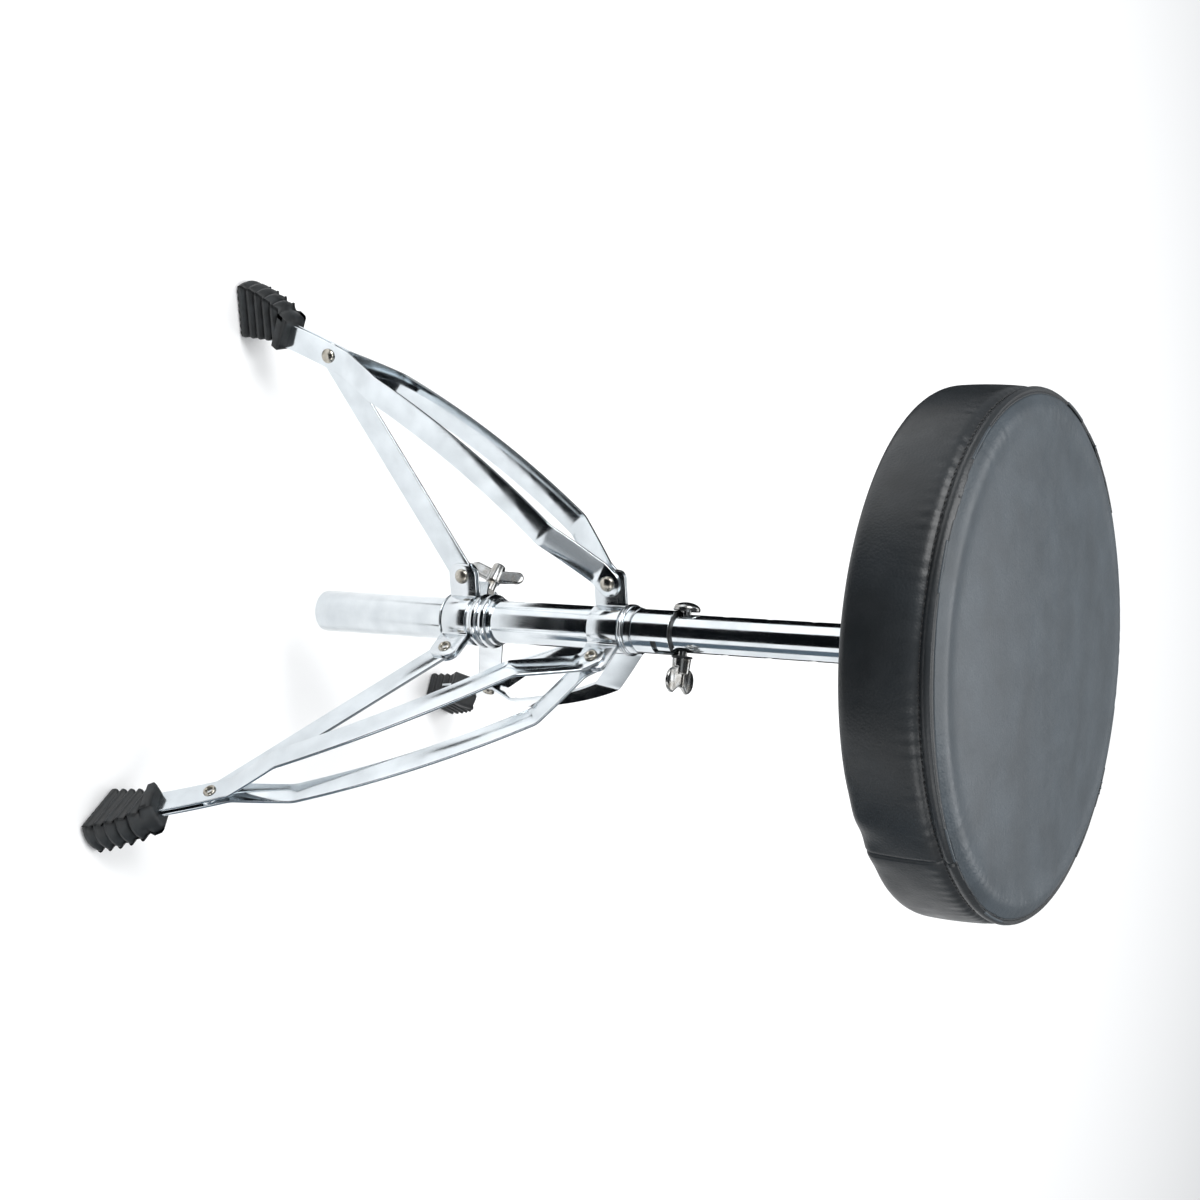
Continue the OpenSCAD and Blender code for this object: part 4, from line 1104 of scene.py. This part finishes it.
@dataclass
class Seat:
    """The padded round seat: sewn cover, board, mounting plate, socket and fasteners."""

    cells: int = 72
    side_rows: int = 13
    crown: float = 8.0
    stitch_drop: float = 8.5
    stitch_pitch: float = 4.2
    join_azimuth: float = 124.0
    seed: int = 7
    frames: int = 20
    cover: float = 1.3

    def disc(self, radius: float) -> tuple:
        """Square grid mapped to a disc, x = u sqrt(1 - v^2 / 2), y = v sqrt(1 - u^2 / 2), and its rim in order."""
        n = self.cells
        u, v = np.meshgrid(np.linspace(-1, 1, n + 1), np.linspace(-1, 1, n + 1), indexing="ij")
        x, y = u * np.sqrt(1 - v**2 / 2), v * np.sqrt(1 - u**2 / 2)
        index = np.arange((n + 1) ** 2).reshape(n + 1, n + 1)
        rim = np.concatenate([index[:-1, 0], index[-1, :-1], index[:0:-1, -1], index[0, :0:-1]])
        points = np.stack([x.ravel() * radius, y.ravel() * radius], -1)
        return points, rim, grid_faces(n + 1, n + 1, False, False)

    def flat_cover(self) -> tuple:
        """The cover before it is filled: a top disc, a side band and a turned-in lower edge, as one closed skin.

        Returns:
            The shell, the row number of each point (0 on the top, then down the band), and the pinned points.
        """
        low, high = node_span("seat_side_band")
        top_r = node_span("seat_top_panel")[1][0]
        side_r, bottom, seam_z = high[0], low[2], seam_height()
        plan, rim, faces = self.disc(top_r)
        share = 1 - (plan**2).sum(1) / top_r**2
        top = np.column_stack([plan, seam_z + 0.45 * self.crown * np.clip(share, 0, 1)])
        angle = np.arctan2(plan[rim, 1], plan[rim, 0])
        rows = []
        drops = np.linspace(0, seam_z - bottom, self.side_rows + 1)[1:]
        for drop in drops:
            r = top_r + (side_r - 0.8 - top_r) * drop / drops[-1]
            height = np.full(len(angle), seam_z - drop)
            rows.append(np.column_stack([r * np.cos(angle), r * np.sin(angle), height]))
        for inset in (4.0, 8.0, 12.0):
            r = side_r - 0.8 - inset
            rows.append(np.column_stack([r * np.cos(angle), r * np.sin(angle), np.full(len(angle), bottom)]))
        count, around = len(rows), len(rim)
        base = len(top)
        ring = [rim] + [base + k * around + np.arange(around) for k in range(count)]
        for upper, lower in zip(ring[:-1], ring[1:]):
            faces += np.stack([upper, np.roll(upper, -1), np.roll(lower, -1), lower], -1).tolist()
        faces.append(ring[-1].tolist())
        row = np.concatenate([np.zeros(base, int), np.repeat(np.arange(1, count + 1), around)])
        points = np.concatenate([top, *rows])
        pinned = np.concatenate([rim, np.flatnonzero(row == 2), np.flatnonzero(row >= self.side_rows)])
        return Shell(points, faces), row, pinned

    def filled(self, shell: Shell, pinned: Array) -> Array:
        """The cover blown up by a cloth simulation with its seams pinned, as moves of its points in millimetres."""
        mesh = bpy.data.meshes.new("cover_cloth")
        mesh.from_pydata((shell.points * MM).tolist(), [], shell.faces)
        bm = bmesh.new()
        bm.from_mesh(mesh)
        bmesh.ops.recalc_face_normals(bm, faces=bm.faces)
        bm.to_mesh(mesh)
        bm.free()
        piece = bpy.data.objects.new("cover_cloth", mesh)
        bpy.context.scene.collection.objects.link(piece)
        pins = piece.vertex_groups.new(name="seams")
        pins.add([int(i) for i in pinned], 1.0, "REPLACE")
        cloth = piece.modifiers.new("filling", "CLOTH")
        cloth.settings.use_pressure = True
        cloth.settings.uniform_pressure_force = 4.0
        cloth.settings.vertex_group_mass = pins.name
        cloth.settings.quality = 5
        cloth.settings.tension_stiffness = 25
        cloth.settings.compression_stiffness = 25
        cloth.settings.effector_weights.gravity = 0
        cloth.point_cache.frame_start = 1
        cloth.point_cache.frame_end = self.frames
        scene = bpy.context.scene
        for number in range(1, self.frames + 1):
            scene.frame_set(number)
        graph = bpy.context.evaluated_depsgraph_get()
        done = piece.evaluated_get(graph).to_mesh()
        co = np.empty(len(done.vertices) * 3, np.float32)
        done.vertices.foreach_get("co", co)
        scene.frame_set(1)
        bpy.data.objects.remove(piece)
        return co.reshape(-1, 3) / MM - shell.points

    def settled(self, shell: Shell, row: Array, move: Array) -> Array:
        """The filled cover's points: moves scaled to reach the crown, capped at 9 mm on top and 3 mm below."""
        top = row == 0
        rise = move[top][:, 2].max()
        if rise < 0.3 or np.median(move[top][:, 2]) < 0:
            raise ValueError(f"the cover did not fill: highest rise {rise:.2f} mm")
        gain = 0.55 * self.crown / rise
        LOG.info("cover rose %.2f mm, scaled by %.2f", rise, gain)
        out = shell.points.copy()
        out[top] += np.clip(move[top] * gain, -9, 9) * [0.2, 0.2, 1]
        side = move[~top]
        size = np.linalg.norm(side, axis=1, keepdims=True)
        peak = max(np.percentile(size, 95), 1e-3)
        out[~top] += side / peak * np.minimum(1.0, 1.6 * peak / np.maximum(size, 1e-6)) * 1.9
        return out

    def shaped(self, shell: Shell, row: Array, points: Array) -> bpy.types.Object:
        """The cover as a mesh, subdivided, with its seam valley, stitched flange, join and puckers pressed in."""
        low, high = node_span("seat_side_band")
        seam_z = seam_height()
        open_faces = [f for f in shell.faces if len(f) == 4]
        piece = make_object("seat_cover", Shell(points, open_faces), 180.0)
        step = piece.modifiers.new("finer", "SUBSURF")
        step.levels = step.render_levels = 2
        graph = bpy.context.evaluated_depsgraph_get()
        mesh = bpy.data.meshes.new_from_object(piece.evaluated_get(graph))
        piece.modifiers.clear()
        piece.data = mesh
        co = np.empty(len(mesh.vertices) * 3, np.float32)
        mesh.vertices.foreach_get("co", co)
        p = co.reshape(-1, 3).astype(float) / MM
        r = np.hypot(p[:, 0], p[:, 1])
        a = np.degrees(np.arctan2(p[:, 1], p[:, 0]))
        out = np.column_stack([p[:, 0] / np.maximum(r, 1), p[:, 1] / np.maximum(r, 1), 0 * r])
        top_r = node_span("seat_top_panel")[1][0]
        rng = np.random.default_rng(self.seed)
        counts, phases, sizes = rng.integers(34, 150, 14), rng.uniform(0, 6.28, 14), rng.uniform(0.3, 1, 14)
        waves = [(int(k), ph, am) for k, ph, am in zip(counts, phases, sizes)]
        pucker = sum(am * np.cos(np.radians(a) * k + ph) for k, ph, am in waves) / 4
        patches = 0.5 + 0.5 * np.cos(np.radians(a) * 3 + 0.6) * np.cos(np.radians(a) * 5 + 1.9)
        on_top = (p[:, 2] > seam_z - 0.7) & (r < top_r - 0.2)
        inwards = np.clip(top_r - r, 0, None)
        drop = np.clip(seam_z - p[:, 2], 0, None)
        roll = 2.6 * np.exp(-(inwards / 7.5) ** 2)
        p[on_top, 2] += (-roll * np.exp(-inwards / 30) + 1.6 * np.exp(-((inwards - 9) / 8) ** 2)
                         + 0.22 * pucker * patches * np.exp(-((inwards - 7) / 8) ** 2))[on_top]
        side = ~on_top & (p[:, 2] > low[2] - 0.5) & (r > high[0] - 9)
        height = max(seam_z - low[2], 1.0)
        belly = 1.1 * np.sin(np.pi * np.clip((drop - self.stitch_drop) / (height - self.stitch_drop), 0, 1)) ** 0.8
        valley = -1.1 * np.exp(-((drop - self.stitch_drop) / 1.5) ** 2)
        flange = 0.9 * np.exp(-((drop - 4.2) / 2.6) ** 2)
        delta = (a - self.join_azimuth + 180) % 360 - 180
        along = np.radians(delta) * high[0]
        join = -1.0 * np.exp(-(along / 1.1) ** 2) * (drop > 0.3)
        bunch = -2.2 * np.exp(-(along / 34) ** 2) * np.clip(drop / height, 0, 1) ** 2
        low_share = np.clip((drop - 30) / 20, 0, 1) ** 2
        bunch += 1.0 * np.sin(along / 5.2 + 0.8) * np.exp(-((along + 10) / 26) ** 2) * low_share
        wrinkle = 0.3 * pucker * np.exp(-((drop - self.stitch_drop - 4) / 6) ** 2)
        move = belly + valley + flange + join + bunch + wrinkle
        p[side] += (out * move[:, None])[side]
        mesh.vertices.foreach_set("co", (p * MM).astype(np.float32).ravel())
        mesh.update()
        return piece

    def split(self, piece: bpy.types.Object) -> tuple:
        """The cover cut along its seam into top panel and side band, each as thick as the vinyl."""
        top_r = node_span("seat_top_panel")[1][0]
        seam_z = seam_height()
        bottom = node_span("seat_side_band")[0][2] + 1.0
        halves = []
        for name, keep_top in (("seat_top_cover", True), ("seat_side_cover", False)):
            mesh = piece.data.copy()
            bm = bmesh.new()
            bm.from_mesh(mesh)
            away = []
            for face in bm.faces:
                c = face.calc_center_median() / MM
                is_top = c.z > seam_z - 1.6 - 0.001 and math.hypot(c.x, c.y) < top_r - 0.02 and face.normal.z > 0.3
                if is_top != keep_top or len(face.verts) > 4 or c.z < bottom and math.hypot(c.x, c.y) < top_r - 12:
                    away.append(face)
            bmesh.ops.delete(bm, geom=away, context="FACES")
            loose = [v for v in bm.verts if not v.link_faces]
            bmesh.ops.delete(bm, geom=loose, context="VERTS")
            bm.to_mesh(mesh)
            bm.free()
            mesh.shade_smooth()
            half = bpy.data.objects.new(name, mesh)
            bpy.context.scene.collection.objects.link(half)
            wall = half.modifiers.new("vinyl", "SOLIDIFY")
            wall.thickness = self.cover * MM
            wall.offset = -1
            halves.append(half)
        bpy.data.objects.remove(piece)
        return tuple(halves)

    def stitches(self, path: Array, normal: Array) -> Shell:
        """Threads along a path, each a short bowed capsule that dips into the cover at both ends.

        Args:
            path: points every tenth of a millimetre or so along the seam, shape (n, 3).
            normal: the cover's outward direction at each point.

        Returns:
            All stitches as one shell.
        """
        run = np.concatenate([[0], np.cumsum(np.linalg.norm(np.diff(path, axis=0), axis=1))])
        count = int(run[-1] // self.stitch_pitch)
        t = np.array([-1, -0.85, -0.4, 0.0, 0.4, 0.85, 1])
        at = (np.arange(count)[:, None] + 0.5) * self.stitch_pitch + t * self.stitch_pitch * 0.36
        centre = np.stack([np.interp(at, run, path[:, k]) for k in range(3)], -1)
        out = unit(np.stack([np.interp(at, run, normal[:, k]) for k in range(3)], -1))
        along = unit(np.gradient(centre, axis=1))
        side = unit(np.cross(along, out))
        centre = centre + out * (0.28 * (1 - t[None, :, None] ** 2) - 0.12)
        radius = 0.42 * np.sqrt(np.maximum(1 - t**6, 0.05))[None, :, None, None]
        a = np.linspace(0, 2 * np.pi, 6, endpoint=False)[None, None, :, None]
        rings = centre[:, :, None] + radius * (np.cos(a) * side[:, :, None] + np.sin(a) * out[:, :, None])
        return joined([loft(r) for r in rings])

    def build(self) -> None:
        """Makes the seat's pieces and puts them on its body."""
        shell, row, pinned = self.flat_cover()
        move = np.zeros_like(shell.points)
        move = self.filled(shell, pinned)
        points = self.settled(shell, row, move)
        cover = self.shaped(shell, row, points)
        top, side = self.split(cover)
        # The top cover gets the vinyl painted lighter as painted light, and the band gets it painted darker as painted
        # shade.
        dress(top, Finishes.TOP_VINYL, "seat", "seat_vinyl_top", "seat_top_panel")
        dress(side, Finishes.SIDE_VINYL, "seat", "seat_vinyl_side", "seat_side_band")
        self.sew(side)
        foam = bevelled_copy("seat_foam", 1.0)
        dress(foam, Finishes.FOAM, "seat", "seat_foam", "seat_foam")
        squeeze = np.array([v.co for v in foam.data.vertices])
        squeeze[:, 2] = np.where(squeeze[:, 2] > 0.53, squeeze[:, 2] - 0.0025, squeeze[:, 2])
        squeeze[:, :2] *= 0.975
        foam.data.vertices.foreach_set("co", squeeze.astype(np.float32).ravel())
        for node, finish, slot in (
            ("seat_board", Finishes.PLYWOOD, "plywood"), ("seat_plate", Finishes.ENAMEL, "black_enamel"),
            ("seat_socket", Finishes.ENAMEL, "black_enamel"), ("clamp_bolt", Finishes.CAST_ZINC, "zinc_hardware"),
            ("clamp_nut", Finishes.CAST_ZINC, "zinc_hardware"), ("plate_screws", Finishes.CAST_ZINC, "zinc_hardware"),
            ("tee_nuts", Finishes.CAST_ZINC, "zinc_hardware"), ("dust_cover", Finishes.DUST_CLOTH, "dust_cloth"),
            ("staples", Finishes.WIRE, "staple_wire"),
        ):
            width = 0.1 if node in ("staples", "dust_cover") else 0.4
            dress(bevelled_copy(node, width), finish, "seat", slot, node)

    def sew(self, side: bpy.types.Object) -> None:
        """A row of thread on the side band, round the seat below the seam."""
        seam_z = seam_height()
        a = np.radians(np.linspace(self.join_azimuth + 0.5, self.join_azimuth + 359.5, 2400))
        out = np.stack([np.cos(a), np.sin(a), 0 * a], -1)
        r = self.surface_radius(side, np.degrees(a), np.full(len(a), seam_z - self.stitch_drop))
        path = out * r[:, None] + [0, 0, seam_z - self.stitch_drop]
        thread = make_object("top_stitching", self.stitches(path, out), 60.0)
        dress(thread, Finishes.THREAD, "seat", "seat_vinyl_side")

    @staticmethod
    def surface_radius(side: bpy.types.Object, azimuth: Array, z: Array) -> Array:
        """Distance of the band's face from the axis at each azimuth and height, from its nearest points."""
        co = np.empty(len(side.data.vertices) * 3, np.float32)
        side.data.vertices.foreach_get("co", co)
        p = co.reshape(-1, 3) / MM
        near = p[np.abs(p[:, 2] - z[0]) < 0.9]
        order = np.argsort(np.arctan2(near[:, 1], near[:, 0]))
        near = near[order]
        angle = np.degrees(np.arctan2(near[:, 1], near[:, 0]))
        wrapped = (azimuth + 180) % 360 - 180
        return np.interp(wrapped, angle, np.hypot(near[:, 0], near[:, 1]), period=360)


# ---------- studio ----------


@dataclass
class Studio:
    """The floor, lights, dark cards and camera."""

    camera_at: tuple = (0.24941, 1.05029, 0.95072)
    azimuth: float = 167.5986
    elevation: float = 32.1326
    roll: float = 93.1837
    lens: float = 59.56

    def look(self, place: Sequence, target: Sequence) -> Matrix:
        """Transform of a thing at place that faces target."""
        turn = (Vector(target) - Vector(place)).to_track_quat("-Z", "Y").to_matrix().to_4x4()
        return Matrix.Translation(Vector(place)) @ turn

    def softbox(self, name: str, place: Sequence, size: tuple, power: float,
                target: tuple = (0.0, 0.0, 0.3)) -> None:
        """Rectangular light that faces the stool, or another target."""
        data = bpy.data.lights.new(name, "AREA")
        data.shape = "RECTANGLE"
        data.size, data.size_y = size
        data.energy = power
        light = bpy.data.objects.new(name, data)
        light.matrix_world = self.look(place, target)
        bpy.context.scene.collection.objects.link(light)

    def card(self, name: str, start: float, stop: float, tone: str, radius: float = 0.34,
             top: float = 0.5) -> None:
        """Dark card curved round the stool, from one azimuth to another in degrees, that only mirrors see.

        A tube seen from above mirrors the floor all round it, so the cards stand on the floor and give the
        chrome its dark bands.
        """
        a = np.radians(np.linspace(start, stop, 24))
        ring = np.stack([radius * np.cos(a), radius * np.sin(a)], -1)
        points = np.concatenate([np.column_stack([ring, np.full(24, z)]) for z in (0.004, top)])
        mesh = bpy.data.meshes.new(name)
        mesh.from_pydata(points.tolist(), [], grid_faces(2, 24, False, False))
        mesh.materials.append(Finish("card_paper_" + name, tone, 0.0, 1.0, ior=1.0).material())
        card = bpy.data.objects.new(name, mesh)
        bpy.context.scene.collection.objects.link(card)
        for ray in ("camera", "diffuse", "shadow", "transmission"):
            setattr(card, "visible_" + ray, False)

    def camera(self) -> None:
        """The camera, from its place, direction and roll."""
        data = bpy.data.cameras.new("camera")
        data.lens, data.sensor_width = self.lens, 36.0
        camera = bpy.data.objects.new("camera", data)
        a, e, roll = (math.radians(v) for v in (self.azimuth, self.elevation, self.roll))
        back = Vector((math.sin(a) * math.cos(e), -math.cos(a) * math.cos(e), math.sin(e)))
        level = Vector((0, 0, 1)).cross(back).normalized()
        top = back.cross(level)
        right = level * math.cos(roll) + top * math.sin(roll)
        up = back.cross(right)
        turn = Matrix((right, up, back)).transposed().to_4x4()
        camera.matrix_world = Matrix.Translation(Vector(self.camera_at)) @ turn
        bpy.context.scene.collection.objects.link(camera)
        bpy.context.scene.camera = camera

    def build(self) -> None:
        """Makes the whole studio."""
        self.camera()
        floor_mesh = bpy.data.meshes.new("floor")
        floor_mesh.from_pydata([(-8, -8, 0), (8, -8, 0), (8, 8, 0), (-8, 8, 0)], [], [(0, 1, 2, 3)])
        floor = bpy.data.objects.new("floor", floor_mesh)
        bpy.context.scene.collection.objects.link(floor)
        floor_mesh.materials.append(Finish("floor_paper", "#fdfdfd", 0.0, 0.9, ior=1.0).material())
        world = bpy.data.worlds.new("studio")
        bpy.context.scene.world = world
        world.use_nodes = True
        background = world.node_tree.nodes["Background"]
        background.inputs["Color"].default_value = linear("#eef2f6")
        background.inputs["Strength"].default_value = 0.38
        self.softbox("key", (1.6, 0.5, 1.6), (1.2, 1.2), 32)
        self.softbox("fill", (-1.2, 1.4, 1.2), (1.4, 1.0), 12)
        self.softbox("top", (0.0, 0.0, 2.4), (1.6, 1.6), 22)
        self.softbox("far_floor", (-0.3, -1.6, 2.2), (2.4, 1.6), 30, (-0.3, -1.6, 0.0))
        self.card("back_card", 215, 340, "#0c0e10")
        self.card("front_card", 36, 104, "#101316")
        self.card("cool_card", 128, 160, "#5d6a75")
        bpy.context.scene.view_settings.view_transform = "Standard"


def main() -> None:
    """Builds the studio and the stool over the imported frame."""
    logging.basicConfig(level=logging.INFO, format="%(message)s")
    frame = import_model()
    Studio().build()
    linkage = Linkage.read(frame)
    hardware = Hardware()
    post = Post(linkage, hardware)
    post.build()
    SlidingCollar(linkage, hardware).build()
    for key in AZIMUTHS:
        Leg(key, linkage, hardware).build()
        Brace(key, linkage).build()
    SeatPost(post, hardware).build()
    Seat().build()


if __name__ == "__main__":
    main()
